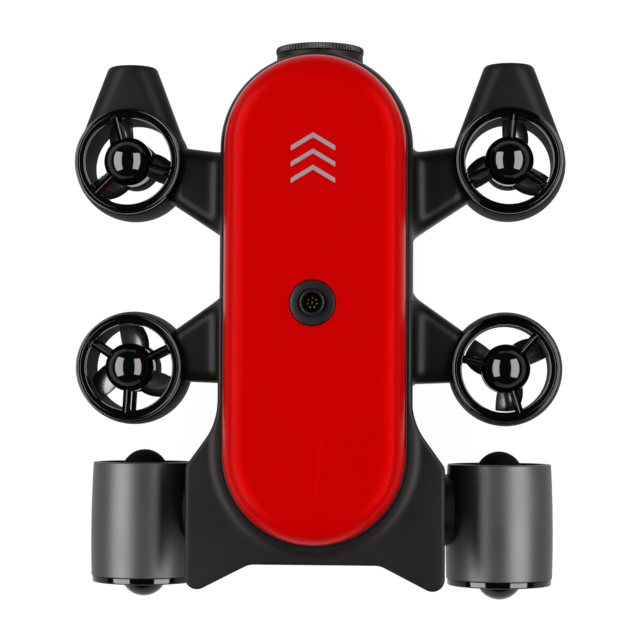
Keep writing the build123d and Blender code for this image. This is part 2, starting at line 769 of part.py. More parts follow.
def arm_beam(y, stations):
    """The starboard beam from the hull's side out to the duct, flared at the hull."""
    sections = []
    for out, front, rear, height in stations:
        corner = min(arm_corner_radius, height / 2 - 1)
        shape = Pos(y + (front + rear) / 2, mid_plane_z) * RectangleRounded(front - rear, height, corner)
        sections.append(beside(hull_half_width + out) * shape)
    return loft(sections) - hull_outside()


def lamp_pod(x, y):
    """The tapering pod ahead of a front duct, tangent to it, as a solid."""
    half_angle = radians(pod_half_angle)
    base_y = y + vertical_duct_radius * sin(half_angle)
    base_half = vertical_duct_radius * cos(half_angle) - pod_sink
    centre_z = mid_plane_z - guard_ring_height / 2
    base = Pos(x, centre_z) * RectangleRounded(2 * base_half, pod_height, 11.0)
    front = Pos(x, mid_plane_z) * RectangleRounded(
        2 * pod_front_radius, 2 * pod_front_radius, pod_front_radius - pod_front_flat
    )
    pod = loft([across(base_y) * base, across(pod_front_y) * front], ruled=True)
    return fillet(pod.edges().group_by(Axis.Y)[-1], 1.6)


def arm(x, y, stations, spoke_angle, has_lamp):
    """One arm moulding: beam, duct, motor cup and, at the front, the lamp pod."""
    place = Pos(x, y, duct_bottom_z)
    bore = rod(duct_bore_radius, x, y, duct_bottom_z - 1, duct_bottom_z + vertical_length + 1)
    beam = arm_beam(y, stations)
    for screw_y, screw_z in arm_screw_points(arm_root_y(y, stations)):
        beam -= screw_hole(1, screw_y, screw_z, hull_half_width - 1, hull_half_width + arm_screw_depth)
    body = place * duct(vertical_length, vertical_duct_radius, vertical_duct_foot_radius) + beam
    if has_lamp:
        body += lamp_pod(x, y)
    body -= bore
    if has_lamp:
        body -= rod_ahead(lamp_bore_radius, x, mid_plane_z, pod_front_y - lamp_bore_depth, pod_front_y + 1)
    body += place * motor_cup(vertical_length, vertical_cup_floor, vertical_cup_shoulder, vertical_cup_nose)
    for vane in vanes(vertical_cup_floor - 2, spoke_angle):
        body += place * vane
    return body


def tail_duct(spoke_angle):
    """The starboard tail moulding: strut, horizontal duct and motor cup."""
    place = tail_place(1)
    stations = [
        (hull_half_width - 26, strut_width + 6, strut_height + 2, tail_thruster_z + 8),
        (hull_half_width + 8, strut_width + 1, strut_height - 1, tail_thruster_z + 6),
        (tail_thruster_x - duct_bore_radius - 1, strut_width, strut_height, tail_thruster_z + 4),
    ]
    sections = [
        beside(x) * (Pos(strut_y, z) * Ellipse(width / 2, height / 2))
        for x, width, height, z in stations
    ]
    strut = loft(sections) - hull_outside()
    body = place * duct(tail_length, tail_duct_radius, tail_duct_end_radius) + strut
    body -= place * rod(duct_bore_radius, 0, 0, -1, tail_length + 1)
    body += place * motor_cup(tail_length, tail_cup_floor, tail_cup_shoulder, hub_radius)
    for vane in vanes(tail_cup_floor - 6, spoke_angle):
        body += place * vane
    return body


def tail_place(side):
    """Where a horizontal thruster stands: its own upright axis points astern."""
    return Pos(side * tail_thruster_x, tail_intake_y, tail_thruster_z) * Rot(90, 0, 0)


def lamp_lens(x):
    """The clear lens in the mouth of a lamp pod, slightly domed."""
    rear = pod_front_y - lamp_lens_thickness - 0.6
    radius = lamp_bore_radius - seam_gap
    profile = [
        Line((0, 0), (radius, 0)),
        Line((radius, 0), (radius, lamp_lens_thickness - lamp_lens_dome)),
        cap(radius, lamp_lens_thickness - lamp_lens_dome, lamp_lens_dome),
        Line((0, lamp_lens_thickness), (0, 0)),
    ]
    return Pos(x, rear, mid_plane_z) * Rot(-90, 0, 0) * revolve(Plane.XZ * make_face(profile), upright)


def lamp_reflector(x):
    """The flared reflector behind the lens."""
    front = pod_front_y - lamp_lens_thickness - 0.6
    rear = pod_front_y - lamp_bore_depth + lamp_board_thickness
    depth = front - rear
    outer = lamp_bore_radius - seam_gap
    profile = [
        Line((3.4, 0), (outer * 0.5, 0)),
        Line((outer * 0.5, 0), (outer, depth - 2)),
        Line((outer, depth - 2), (outer, depth)),
        Line((outer, depth), (outer - 1.2, depth)),
        Line((outer - 1.2, depth), (3.4, 0)),
    ]
    return Pos(x, rear, mid_plane_z) * Rot(-90, 0, 0) * revolve(Plane.XZ * make_face(profile), upright)


def lamp_board(x):
    """The round board on the floor of the lamp's bore, with its light source."""
    rear = pod_front_y - lamp_bore_depth
    board = rod_ahead(lamp_bore_radius - 0.4, x, mid_plane_z, rear, rear + lamp_board_thickness)
    return board + Pos(x, rear + lamp_board_thickness + 0.4, mid_plane_z) * Box(4, 0.8, 4)


def battery_pack():
    """The battery on the pan's ribs."""
    width, length, height = battery_size
    pack = block(width, length, height, 0, hull_centre_y, battery_bottom_z)
    return fillet(pack.edges().filter_by(Axis.Y), 8)


def electronics_tray():
    """The tray on the hull's ledges, with four posts for the main board."""
    half = hull_inner_half_width - 1
    length = pan_screw_ys[-1] - pan_screw_ys[0] + 16
    tray = block(2 * half, length, tray_thickness, 0, hull_centre_y, ledge_top_z)
    top = ledge_top_z + tray_thickness
    post_x = board_size[0] / 2 - board_post_inset
    post_reach = board_size[1] / 2 - board_post_inset
    for x in (-post_x, post_x):
        for y in (hull_centre_y - post_reach, hull_centre_y + post_reach):
            tray += rod(3, x, y, top - 0.5, top + board_post_height)
    return tray


def main_board():
    """The control board on the tray's posts, with its larger parts."""
    bottom = ledge_top_z + tray_thickness + board_post_height
    board = block(*board_size, 0, hull_centre_y, bottom)
    for x, ahead, size in ((-20, 22, 18), (16, 18, 14), (-12, -20, 24), (24, -26, 12)):
        board += block(size, size, 2.4, x, hull_centre_y + ahead, bottom + board_size[2])
    return board


def speed_controllers():
    """The six motor controllers in two rows on the tray, ahead of and behind the main board."""
    bottom = ledge_top_z + tray_thickness
    reach = board_size[1] / 2 + controller_gap + controller_size[1] / 2
    rows = [(k * controller_spacing, hull_centre_y + end * reach) for end in (-1, 1) for k in (-1, 0, 1)]
    return Compound([block(*controller_size, x, y, bottom) for x, y in rows])


def pan_screws():
    """The screws that pull the pan up against the hull."""
    screws = []
    for side in (-1, 1):
        for y in pan_screw_ys:
            x = side * pan_boss_x
            shank = rod(screw_radius, x, y, 14, hull_bottom_z + 15)
            screws.append(shank + rod(screw_head_radius, x, y, 14 - screw_head_height, 14))
    return Compound(screws)


def arm_screws():
    """The screws that hold the arms, with their heads inside the hull."""
    inner = hull_inner_half_width
    screws = []
    for side in (-1, 1):
        for root_y in arm_root_ys():
            for y, z in arm_screw_points(root_y):
                shank = Pos(inner - 0.1, y, z) * Rot(0, 90, 0) * Cylinder(
                    screw_radius,
                    hull_wall + arm_screw_depth - 1,
                    align=(Align.CENTER, Align.CENTER, Align.MIN),
                )
                head = Pos(inner - screw_head_height, y, z) * Rot(0, 90, 0) * Cylinder(
                    screw_head_radius, screw_head_height, align=(Align.CENTER, Align.CENTER, Align.MIN)
                )
                screw = shank + head
                screws.append(screw if side > 0 else mirror(screw, Plane.YZ))
    return Compound(screws)


def accessory_inserts():
    """The threaded brass inserts in the pan, for a gripper or a light bar."""
    inserts = []
    for side in (-1, 1):
        for end in (-1, 1):
            x = side * insert_spacing_x / 2
            y = insert_y + end * insert_spacing_y / 2
            insert = rod(insert_radius, x, y, 0, insert_length)
            inserts.append(insert - rod(insert_bore_radius, x, y, -1, insert_length + 1))
    return Compound(inserts)


def port_and_starboard(name, shape):
    """The starboard shape and its mirror image, by name."""
    return {name + "_right": shape, name + "_left": mirror(shape, Plane.YZ)}


def thruster_sets():
    """The guards, motors and propellers of all six thrusters, by name."""
    # name, place, length, cup floor, spoke angle, blade angle, hand
    thrusters = []
    for name, side, x, y, spoke, blades in (
        ("front_right", 1, front_thruster_x, front_thruster_y, 84.5, 83.3),
        ("front_left", -1, front_thruster_x, front_thruster_y, 105.0, 104.0),
        ("rear_right", 1, rear_thruster_x, rear_thruster_y, 47.5, 32.0),
        ("rear_left", -1, rear_thruster_x, rear_thruster_y, 26.5, 91.2),
    ):
        place = Pos(side * x, y, duct_bottom_z)
        hand = -side if y > hull_centre_y else side
        thrusters.append((name, place, vertical_length, vertical_cup_floor, spoke, blades, hand))
    for name, side in (("tail_right", 1), ("tail_left", -1)):
        thrusters.append((name, tail_place(side), tail_length, tail_cup_floor, 90.0, 90.0 + side * 20, side))
    made = {}
    for name, place, length, floor, spoke, blades, hand in thrusters:
        made["guard_" + name] = place * guard(length, spoke)
        made["stator_" + name] = place * stator(length, floor)
        made["rotor_" + name] = place * rotor(length, floor)
        made["propeller_" + name] = place * propeller(length, blades, hand)
    return made


def mirrored_spokes(angle):
    """The spoke angle of a starboard piece whose mirror image has its spokes at that angle."""
    return 180 - angle


def build():
    """Every node of the vehicle, by name."""
    front = (front_thruster_x, front_thruster_y, front_arm_stations)
    rear = (rear_thruster_x, rear_thruster_y, rear_arm_stations)
    nodes = {
        "main_hull": main_hull(),
        "bottom_pan": bottom_pan(),
        "pan_gasket": flat_gasket(hull_foot_half_width - 0.7, pan_height),
        "cover_gasket": flat_gasket(cover_half_width - 0.3, rim_z),
        "top_cover": top_cover(),
        "tether_connector": tether_connector(),
        "connector_insert": connector_insert(),
        "connector_pins": connector_pins(),
        "connector_nut": connector_nut(),
        "lens_ring": lens_ring(),
        "camera_barrel": camera_barrel(),
        "camera_window": camera_window(),
        "camera_lens": camera_lens(),
        "camera_board": camera_board(),
        "arm_front_right": arm(*front, 84.5, True),
        "arm_front_left": mirror(arm(*front, mirrored_spokes(105.0), True), Plane.YZ),
        "arm_rear_right": arm(*rear, 47.5, False),
        "arm_rear_left": mirror(arm(*rear, mirrored_spokes(26.5), False), Plane.YZ),
        "battery_pack": battery_pack(),
        "electronics_tray": electronics_tray(),
        "main_board": main_board(),
        "speed_controllers": speed_controllers(),
        "pan_screws": pan_screws(),
        "arm_screws": arm_screws(),
        "accessory_inserts": accessory_inserts(),
    }
    nodes.update(port_and_starboard("tail_duct", tail_duct(90.0)))
    nodes.update(port_and_starboard("lamp_lens", lamp_lens(front_thruster_x)))
    nodes.update(port_and_starboard("lamp_reflector", lamp_reflector(front_thruster_x)))
    nodes.update(port_and_starboard("lamp_board", lamp_board(front_thruster_x)))
    nodes.update(thruster_sets())
    return nodes


os.makedirs("parts", exist_ok=True)
for node_name, node_shape in build().items():
    export_step(node_shape, f"parts/{node_name}.step")
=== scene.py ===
"""Looks of the underwater inspection vehicle: black moulded hull and arms, glossy guards, red cover."""

import json
from math import acos, asin, atan2, cos, hypot, pi, radians, sin, sqrt, tan

import bmesh
import bpy
from mathutils import Matrix, Vector


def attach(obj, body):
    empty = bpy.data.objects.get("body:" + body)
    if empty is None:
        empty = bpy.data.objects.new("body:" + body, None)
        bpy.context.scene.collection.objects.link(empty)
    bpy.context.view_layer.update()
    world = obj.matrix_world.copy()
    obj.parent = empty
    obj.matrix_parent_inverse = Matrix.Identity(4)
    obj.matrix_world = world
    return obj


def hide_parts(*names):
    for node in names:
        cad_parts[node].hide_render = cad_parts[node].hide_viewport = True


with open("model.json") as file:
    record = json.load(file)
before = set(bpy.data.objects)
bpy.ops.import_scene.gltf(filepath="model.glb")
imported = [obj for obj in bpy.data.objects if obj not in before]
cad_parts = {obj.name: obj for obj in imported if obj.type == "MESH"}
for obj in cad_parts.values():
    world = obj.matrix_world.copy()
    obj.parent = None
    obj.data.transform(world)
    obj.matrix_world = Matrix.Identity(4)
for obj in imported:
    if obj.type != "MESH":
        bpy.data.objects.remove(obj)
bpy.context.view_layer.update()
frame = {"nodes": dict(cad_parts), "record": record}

# Sizes in millimetres, as in the solids
MM = 0.001
MID_Z = 95.0  # the middle of the arms and the lamp pods
HULL_HALF = 66.8
HULL_FOOT_HALF = 65.2
HULL_CENTRE_Y = 15.5
HULL_STRAIGHT = 211.0
RIM_HALF = 63.6
RIM_Z = 136.0
SHOULDER_Z = 122.0
HULL_BASE_Z = 25.0
COVER_HALF = 62.3
COVER_BASE_Z = 137.0
COVER_TOP_Z = 159.5
CROWN_HALF = 46.5
CROWN_EDGE_Z = 157.9
GROOVE_FRONT_Y = -30.0
GROOVE_REAR_Y = -131.0
GROOVE_DEPTH = 0.7
FIN_TOP_Z = 128.0
FIN_THICKNESS = 7.0
FIN_HALF = 89.4
FIN_ROOT_Y = -68.0
FIN_SHOULDER_Y = -99.5
FIN_TIP_Y = -189.3
FIN_STERN_HALF = 45.0
FIN_STERN_Y = -166.6
CONNECTOR_Y = 12.0
POCKET_R = 15.9
FLANGE_R = 15.6
BARREL_R = 8.05
BARREL_TOP_Z = 165.0
CAMERA_Z = 93.0
RING_FRONT_Y = 195.0
RING_LENGTH = 4.4
RING_R = 31.0
PORT_R = 30.5
PORT_BORE_R = 26.8
VERTICAL_DUCT_R = 40.0
VERTICAL_FOOT_R = 38.4
TAIL_DUCT_R = 38.2
TAIL_FOOT_R = 37.0
DUCT_TOP_R = 37.7
DUCT_BORE_R = 30.4
HUB_R = 17.0
GUARD_R = 37.2
GUARD_RING_HEIGHT = 4.5
GUARD_DOME_DROP = 6.4
SPOKE_DROP = 2.0
VERTICAL_LENGTH = 52.5
VERTICAL_TOP_Z = 117.5
VERTICAL_CUP = (10.5, 8.5, 7.0)  # the cup's floor, its shoulder and the height of its nose
VERTICAL_VANE_MIDDLE = 16.0
TAIL_LENGTH = 86.0
TAIL_CUP = (38.0, 8.0, HUB_R)
TAIL_VANE_MIDDLE = 32.0
TAIL_INTAKE_Y = -98.4
TAIL_Z = 58.0
STRUT_Y = -131.2
PROPELLER_HEIGHT = 12.0
PROPELLER_GAP = 0.8
PROPELLER_HUB_R = 16.4
BLADE_TIP_R = 29.6
BLADE_TIP_HALF_ANGLE = 15.5
BLADE_SWEEP = 2.2
BLADE_TAPER = 0.5
BLADE_ROOT_PITCH = 20.0
BLADE_TIP_PITCH = 18.0
VANE_HALF_THICKNESS = 1.6
VANE_HALF_CHORD = 6.5
POD_FRONT_Y = 181.8
POD_FRONT_R = 17.1
POD_FLANK_ANGLE = 20.6  # where the pod's flanks leave the duct's side
POD_ROOT_TOP_Z = 111.8
POD_ROOT_BOTTOM_Z = 73.5
LAMP_BORE_R = 13.3
ARM_HALF_HEIGHT = 15.5
BEAM_END = 22.0  # how near the duct's axis a beam runs before the bore cuts it back

# Each arm's front and rear edge at the hull, then at the duct
ARM_EDGES = {
    "front": (120.5, 59.9, 124.0, 77.6),
    "rear": (20.2, -42.0, 2.6, -41.0),
}

# Camera, in metres, with its focal length in pixels of the 640-pixel image
IMAGE_PIXELS = 640.0
CAMERA_FOCAL_PIXELS = 2007.6
CAMERA_PLACE = (0.093, -0.055, 1.504)
CAMERA_AIM = (-0.0013, 0.0045, 0.058)
CAMERA_ROLL = 0.297

# Studio, in metres, degrees and watts
WORLD_FILL = 0.35
WALL_TOP = 0.10  # the height, as a share of straight up, at which the white walls begin to darken
CEILING_EDGE = 0.22
CEILING_GREY = 0.04
SOFTBOX_DISTANCE = 1.5
SOFTBOX_TILT = 47.0  # from straight up
SOFTBOX_Y = 0.05
SOFTBOX_LENGTH = 2.3
SOFTBOX_WIDTH = 1.0
LIGHT_POWER = 14.0
SHEEN_POWER = 110.0
SHEEN_ADVANCE = 0.02  # how much nearer the sheen lamps hang, so that the plain ones don't hide them
FLOOR_GREY = 0.70
SEEN_FLOOR_GREY = 0.12
SEEN_FLOOR_GLOW = 0.96

# name: (side, x, y, spoke angle, blade angle, sense of turn)
VERTICAL_THRUSTERS = {
    "front_right": (1, 133.2, 113.2, 84.5, 83.3, -1),
    "front_left": (-1, -133.2, 113.2, 105.0, 104.0, 1),
    "rear_right": (1, 131.0, -31.1, 47.5, 32.0, 1),
    "rear_left": (-1, -131.0, -31.1, 26.5, 91.2, -1),
}
# name: (side, x, spoke angle, blade angle)
TAIL_THRUSTERS = {
    "tail_right": (1, 127.8, 90.0, 110.0),
    "tail_left": (-1, -127.8, 90.0, 70.0),
}


# Outlines and profiles

def arc(centre, radius, start, end, steps=10):
    """Points of an arc, with its angles in degrees."""
    return [
        (
            centre[0] + radius * cos(radians(start + (end - start) * k / steps)),
            centre[1] + radius * sin(radians(start + (end - start) * k / steps)),
        )
        for k in range(steps + 1)
    ]


def rounded(points, radii, steps=7):
    """A polyline with a round corner of the given radius at each inner point."""
    line = [points[0]]
    for before, corner, after, radius in zip(points, points[1:], points[2:], radii):
        p, q, r = (Vector(point) for point in (before, corner, after))
        to_p = (p - q).normalized()
        to_r = (r - q).normalized()
        half = acos(max(-1, min(1, to_p.dot(to_r)))) / 2
        reach = radius / tan(half)
        centre = q + (to_p + to_r).normalized() * (radius / sin(half))
        first = q + to_p * reach - centre
        sweep = (q + to_r * reach - centre).angle_signed(first)
        for k in range(steps + 1):
            turned_point = Matrix.Rotation(sweep * k / steps, 2) @ first
            line.append(tuple(centre + turned_point))
    line.append(points[-1])
    return line


def bezier(p0, p1, p2, p3, steps=16):
    """Points of a cubic Bezier curve."""
    line = []
    for k in range(steps + 1):
        t = k / steps
        weights = ((1 - t) ** 3, 3 * t * (1 - t) ** 2, 3 * t * t * (1 - t), t**3)
        line.append(tuple(sum(w * p[i] for w, p in zip(weights, (p0, p1, p2, p3))) for i in (0, 1)))
    return line


def between(a, b, t):
    """A value part of the way from a to b."""
    return a + (b - a) * t


def smooth_step(t):
    """Eases a share from 0 to 1."""
    t = max(0.0, min(1.0, t))
    return t * t * (3 - 2 * t)


# Meshes

def piece(name, vertices, faces, sharp=38):
    """A smooth-shaded mesh object from points in millimetres, with its normals outward."""
    mesh = bpy.data.meshes.new(name)
    build = bmesh.new()
    made = [build.verts.new((x * MM, y * MM, z * MM)) for x, y, z in vertices]
    for face in faces:
        build.faces.new([made[k] for k in face])
    bmesh.ops.remove_doubles(build, verts=build.verts, dist=1e-6)
    bmesh.ops.dissolve_degenerate(build, edges=build.edges, dist=1e-7)
    bmesh.ops.recalc_face_normals(build, faces=build.faces)
    for face in build.faces:
        face.smooth = True
    build.to_mesh(mesh)
    build.free()
    mesh.set_sharp_from_angle(angle=radians(sharp))
    obj = bpy.data.objects.new(name, mesh)
    bpy.context.scene.collection.objects.link(obj)
    return obj


def skinned(name, rings, caps=True, sharp=38):
    """A mesh that joins closed rings of equal length one after the other."""
    count = len(rings[0])
    vertices = [point for ring in rings for point in ring]
    faces = []
    for row in range(len(rings) - 1):
        here = row * count
        there = here + count
        for k in range(count):
            after = (k + 1) % count
            faces.append((here + k, here + after, there + after, there + k))
    if caps:
        faces.append(tuple(range(count)))
        faces.append(tuple(range((len(rings) - 1) * count, len(rings) * count)))
    return piece(name, vertices, faces, sharp)


def turned(name, profile, segments=128, sharp=38):
    """A profile of (radius, height) turned about the upright axis."""
    rings = [
        [(r * cos(2 * pi * k / segments), r * sin(2 * pi * k / segments), z) for k in range(segments)]
        for r, z in profile
    ]
    return skinned(name, rings, caps=False, sharp=sharp)


def joined(name, parts):
    """Several meshes as one object."""
    build = bmesh.new()
    for part in parts:
        build.from_mesh(part.data)
    mesh = bpy.data.meshes.new(name)
    build.to_mesh(mesh)
    build.free()
    mesh.set_sharp_from_angle(angle=radians(38))
    obj = bpy.data.objects.new(name, mesh)
    bpy.context.scene.collection.objects.link(obj)
    for part in parts:
        bpy.data.objects.remove(part)
    return obj


def placed(obj, matrix):
    """Moves an object's mesh by a matrix whose shift is in millimetres."""
    shift = matrix.to_translation() * MM
    turn = matrix.to_3x3().to_4x4()
    obj.data.transform(Matrix.Translation(shift) @ turn)
    if matrix.determinant() < 0:
        obj.data.flip_normals()
    return obj


def subtract(obj, cutter):
    """Cuts one mesh out of another and throws the cutter away."""
    cut = obj.modifiers.new("cut", "BOOLEAN")
    cut.operation = "DIFFERENCE"
    cut.object = cutter
    cut.solver = "EXACT"
    bpy.context.view_layer.objects.active = obj
    bpy.ops.object.modifier_apply(modifier=cut.name)
    bpy.data.objects.remove(cutter)


def stadium(half, count, straight_steps):
    """The hull's outline at a half width: points from starboard round the bow and the stern."""
    line = []
    front = HULL_CENTRE_Y + HULL_STRAIGHT / 2
    rear = HULL_CENTRE_Y - HULL_STRAIGHT / 2
    for k in range(count):
        angle = pi * k / count
        line.append((half * cos(angle), front + half * sin(angle)))
    for k in range(straight_steps):
        line.append((-half, between(front, rear, k / straight_steps)))
    for k in range(count):
        angle = pi + pi * k / count
        line.append((half * cos(angle), rear + half * sin(angle)))
    for k in range(straight_steps):
        line.append((half, between(rear, front, k / straight_steps)))
    return line


def round_stadium(name, profile, count, straight_steps, height=None, sharp=38):
    """A profile of (half width, height) carried round the hull's outline; height can bend the heights."""
    rings = []
    for half, z in profile:
        outline = stadium(half, count, straight_steps)
        rings.append([(x, y, z if height is None else height(x, y, z)) for x, y in outline])
    return skinned(name, rings, caps=False, sharp=sharp)


# Materials

def new_material(name):
    """A new material with its node tree and its shader."""
    material = bpy.data.materials.new(name)
    material.use_nodes = True
    tree = material.node_tree
    return material, tree, tree.nodes["Principled BSDF"]


def linear(red, green, blue):
    """A colour from the values seen on a screen, 0 to 255."""
    return tuple(
        (c / 255 / 12.92 if c / 255 <= 0.04045 else ((c / 255 + 0.055) / 1.055) ** 2.4)
        for c in (red, green, blue)
    ) + (1.0,)


def moulded(
    name, colour, roughness, grain=0.05, grain_size=1400.0, cloud=0.18, metallic=0.0, specular=0.5,
    sheen=(1.0, 1.0, 1.0),
):
    """A moulded or cast finish: fine grain in the surface and slight clouds in colour and gloss."""
    material, tree, shader = new_material(name)
    nodes = tree.nodes
    links = tree.links
    place = nodes.new("ShaderNodeTexCoord")
    shader.inputs["Metallic"].default_value = metallic
    shader.inputs["Specular IOR Level"].default_value = specular
    shader.inputs["Specular Tint"].default_value = sheen + (1.0,)
    clouds = nodes.new("ShaderNodeTexNoise")
    clouds.inputs["Scale"].default_value = 22.0
    clouds.inputs["Detail"].default_value = 4.0
    links.new(place.outputs["Object"], clouds.inputs["Vector"])
    tint = nodes.new("ShaderNodeMixRGB")
    tint.inputs["Color1"].default_value = tuple(c * (1 - cloud) for c in colour[:3]) + (1.0,)
    tint.inputs["Color2"].default_value = tuple(min(1, c * (1 + cloud)) for c in colour[:3]) + (1.0,)
    links.new(clouds.outputs["Fac"], tint.inputs["Fac"])
    links.new(tint.outputs["Color"], shader.inputs["Base Color"])
    gloss = nodes.new("ShaderNodeMapRange")
    gloss.inputs["From Min"].default_value = 0.3
    gloss.inputs["From Max"].default_value = 0.7
    gloss.inputs["To Min"].default_value = roughness * 0.92
    gloss.inputs["To Max"].default_value = roughness * 1.08
    links.new(clouds.outputs["Fac"], gloss.inputs["Value"])
    links.new(gloss.outputs["Result"], shader.inputs["Roughness"])
    if grain:
        dots = nodes.new("ShaderNodeTexNoise")
        dots.inputs["Scale"].default_value = grain_size
        dots.inputs["Detail"].default_value = 2.0
        links.new(place.outputs["Object"], dots.inputs["Vector"])
        bump = nodes.new("ShaderNodeBump")
        bump.inputs["Strength"].default_value = grain
        bump.inputs["Distance"].default_value = 0.0003
        links.new(dots.outputs["Fac"], bump.inputs["Height"])
        links.new(bump.outputs["Normal"], shader.inputs["Normal"])
    return material


def clear_glass(name, tint, roughness=0.02):
    """Clear moulded glass with a faint ripple in its polish."""
    material = moulded(name, tint, roughness, grain=0.0, cloud=0.02)
    shader = material.node_tree.nodes["Principled BSDF"]
    shader.inputs["Transmission Weight"].default_value = 0.95
    shader.inputs["IOR"].default_value = 1.45
    return material


def finish_of(obj, material):
    """Gives a whole object one material."""
    obj.data.materials.clear()
    obj.data.materials.append(material)


PLATE_BLACK = moulded("plate_black", linear(30, 27, 26), 0.42, grain=0.08, specular=0.05)
ARM_BLACK = moulded("arm_black", linear(17, 15, 14), 0.36, grain=0.08, specular=0.05)
POD_BLACK = moulded("pod_black", linear(21, 20, 20), 0.45, grain=0.10, specular=0.04)
DUCT_BLACK = moulded("duct_black", linear(13, 12, 11), 0.45, grain=0.06, specular=0.01)
BARREL_BLACK = moulded("barrel_black", linear(34, 33, 32), 0.42, grain=0.08, specular=0.34)
COVER_RED = moulded(
    "cover_red", linear(203, 1, 1), 0.28, grain=0.0, cloud=0.02, specular=0.09, sheen=(1.0, 0.0, 0.0)
)
GUARD_GLOSS = moulded("guard_gloss", linear(6, 6, 7), 0.07, grain=0.0, cloud=0.1, specular=0.25)
BLADE_GREY = moulded("blade_grey", linear(38, 38, 40), 0.22, grain=0.03)
# Dull black with almost no reflection: the tether socket's insulator, and painted shade on the faces inside
# the ducts, on the motor cups and on the vanes.
SHADE_AND_INSULATOR_BLACK = moulded("shade_and_insulator_black", linear(16, 15, 14), 0.6, grain=0.08, specular=0.01)
RUBBER = moulded("rubber", linear(18, 18, 18), 0.75, grain=0.15)
DARK_METAL = moulded("dark_metal", linear(40, 38, 39), 0.28, grain=0.04, metallic=0.8)
RING_METAL = moulded("ring_metal", linear(16, 11, 11), 0.35, grain=0.06, metallic=0.1, specular=0.15)
GOLD = moulded("gold_contact", linear(214, 178, 104), 0.22, grain=0.02, metallic=1.0)
STEEL = moulded("steel", linear(180, 180, 182), 0.30, grain=0.04, metallic=1.0)
BRASS = moulded("insert_brass", linear(196, 160, 92), 0.30, grain=0.04, metallic=1.0)
WINDING = moulded("winding", linear(150, 92, 50), 0.40, grain=0.30, grain_size=700.0)
BOARD_GREEN = moulded("board_green", linear(20, 84, 52), 0.40, grain=0.10, grain_size=500.0)
BATTERY_BLUE = moulded("battery_wrap", linear(28, 52, 92), 0.38, grain=0.08)
MARK_GREY = moulded("mark_grey", linear(140, 137, 140), 0.40, grain=0.02, cloud=0.03)
WINDOW_GLASS = clear_glass("window_glass", (0.93, 0.95, 0.96, 1.0))
REFLECTOR = moulded("reflector", linear(235, 235, 235), 0.08, grain=0.02, metallic=1.0, cloud=0.02)

SLOT_MATERIALS = {
    "hull_black": PLATE_BLACK,
    "cover_red": COVER_RED,
    "gasket": RUBBER,
    "dark_metal": RING_METAL,
    "insulator": SHADE_AND_INSULATOR_BLACK,
    "gold_contact": GOLD,
    "steel": STEEL,
    "window_glass": WINDOW_GLASS,
    "guard_black": GUARD_GLOSS,
    "blade_grey": BLADE_GREY,
    "motor_steel": STEEL,
    "winding": WINDING,
    "board_green": BOARD_GREEN,
    "battery_wrap": BATTERY_BLUE,
    "tray_metal": STEEL,
    "reflector": REFLECTOR,
    "insert_brass": BRASS,
}
for entry in frame["record"]["subparts"]:
    node = frame["nodes"][entry["node"]]
    finish_of(node, SLOT_MATERIALS[entry["material_slot"]])
    for polygon in node.data.polygons:
        polygon.use_smooth = True
    node.data.set_sharp_from_angle(angle=radians(30))


def dress(obj, material, body, slot, *nodes):
    """Gives a piece its finish, the body that it moves with and the nodes that it stands for."""
    finish_of(obj, material)
    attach(obj, body)
    if nodes:
        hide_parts(*nodes)


# Hull, fin and cover

def side_at(z):
    """The hull's half width at a height of its drafted side."""
    return between(HULL_FOOT_HALF, HULL_HALF, (z - HULL_BASE_Z) / (SHOULDER_Z - HULL_BASE_Z))


def shoulder_arc():
    """The lean of the hull's shoulder, from its drafted side up to its rim."""
    rise = RIM_Z - SHOULDER_Z
    inward = HULL_HALF - RIM_HALF
    draft = atan2(HULL_HALF - HULL_FOOT_HALF, SHOULDER_Z - HULL_BASE_Z)
    chord = hypot(rise, inward)
    turn = draft + atan2(inward, rise)
    bend = chord / (2 * sin(turn))
    centre = (HULL_HALF - bend * cos(draft), SHOULDER_Z + bend * sin(draft))
    start = -draft * 180 / pi
    return arc(centre, bend, start, start + 2 * turn * 180 / pi, 12)


def make_hull():
    """The upright hull wall with its leaning shoulder and the narrow rim round the cover."""
    rim = rounded(
        [(RIM_HALF + 0.3, RIM_Z - 1.4), (RIM_HALF - 0.4, RIM_Z + 0.6), (RIM_HALF - 3.4, RIM_Z)], [0.7]
    )
    foot = HULL_FOOT_HALF
    profile = [(foot - 3.5, HULL_BASE_Z), (foot - 0.5, HULL_BASE_Z), (foot, HULL_BASE_Z + 0.5)]
    profile += [(side_at(z), z) for z in (40, 70, 100, 115)] + shoulder_arc()[:-1] + rim
    return round_stadium("hull_shell", profile, count=60, straight_steps=50)


def fin_half_outline():
    """The starboard edge of the fin from beside the hull to the middle of the stern."""
    line = [
        (HULL_HALF, HULL_CENTRE_Y), (HULL_HALF, FIN_ROOT_Y), (FIN_HALF, FIN_SHOULDER_Y),
        (FIN_HALF, FIN_TIP_Y), (FIN_STERN_HALF, FIN_STERN_Y), (0.0, FIN_STERN_Y),
    ]
    return rounded(line, [46.0, 9.0, 8.5, 14.0], steps=14)


def ray_length(origin, direction, line):
    """How far a ray runs from its origin to the last crossing with an outline."""
    best = 0.0
    for (x1, y1), (x2, y2) in zip(line, line[1:]):
        ex, ey = x2 - x1, y2 - y1
        cross = direction[0] * ey - direction[1] * ex
        if abs(cross) < 1e-9:
            continue
        t = ((x1 - origin[0]) * ey - (y1 - origin[1]) * ex) / cross
        s = ((x1 - origin[0]) * direction[1] - (y1 - origin[1]) * direction[0]) / cross
        if -1e-6 <= s <= 1 + 1e-6 and t > best:
            best = t
    return best


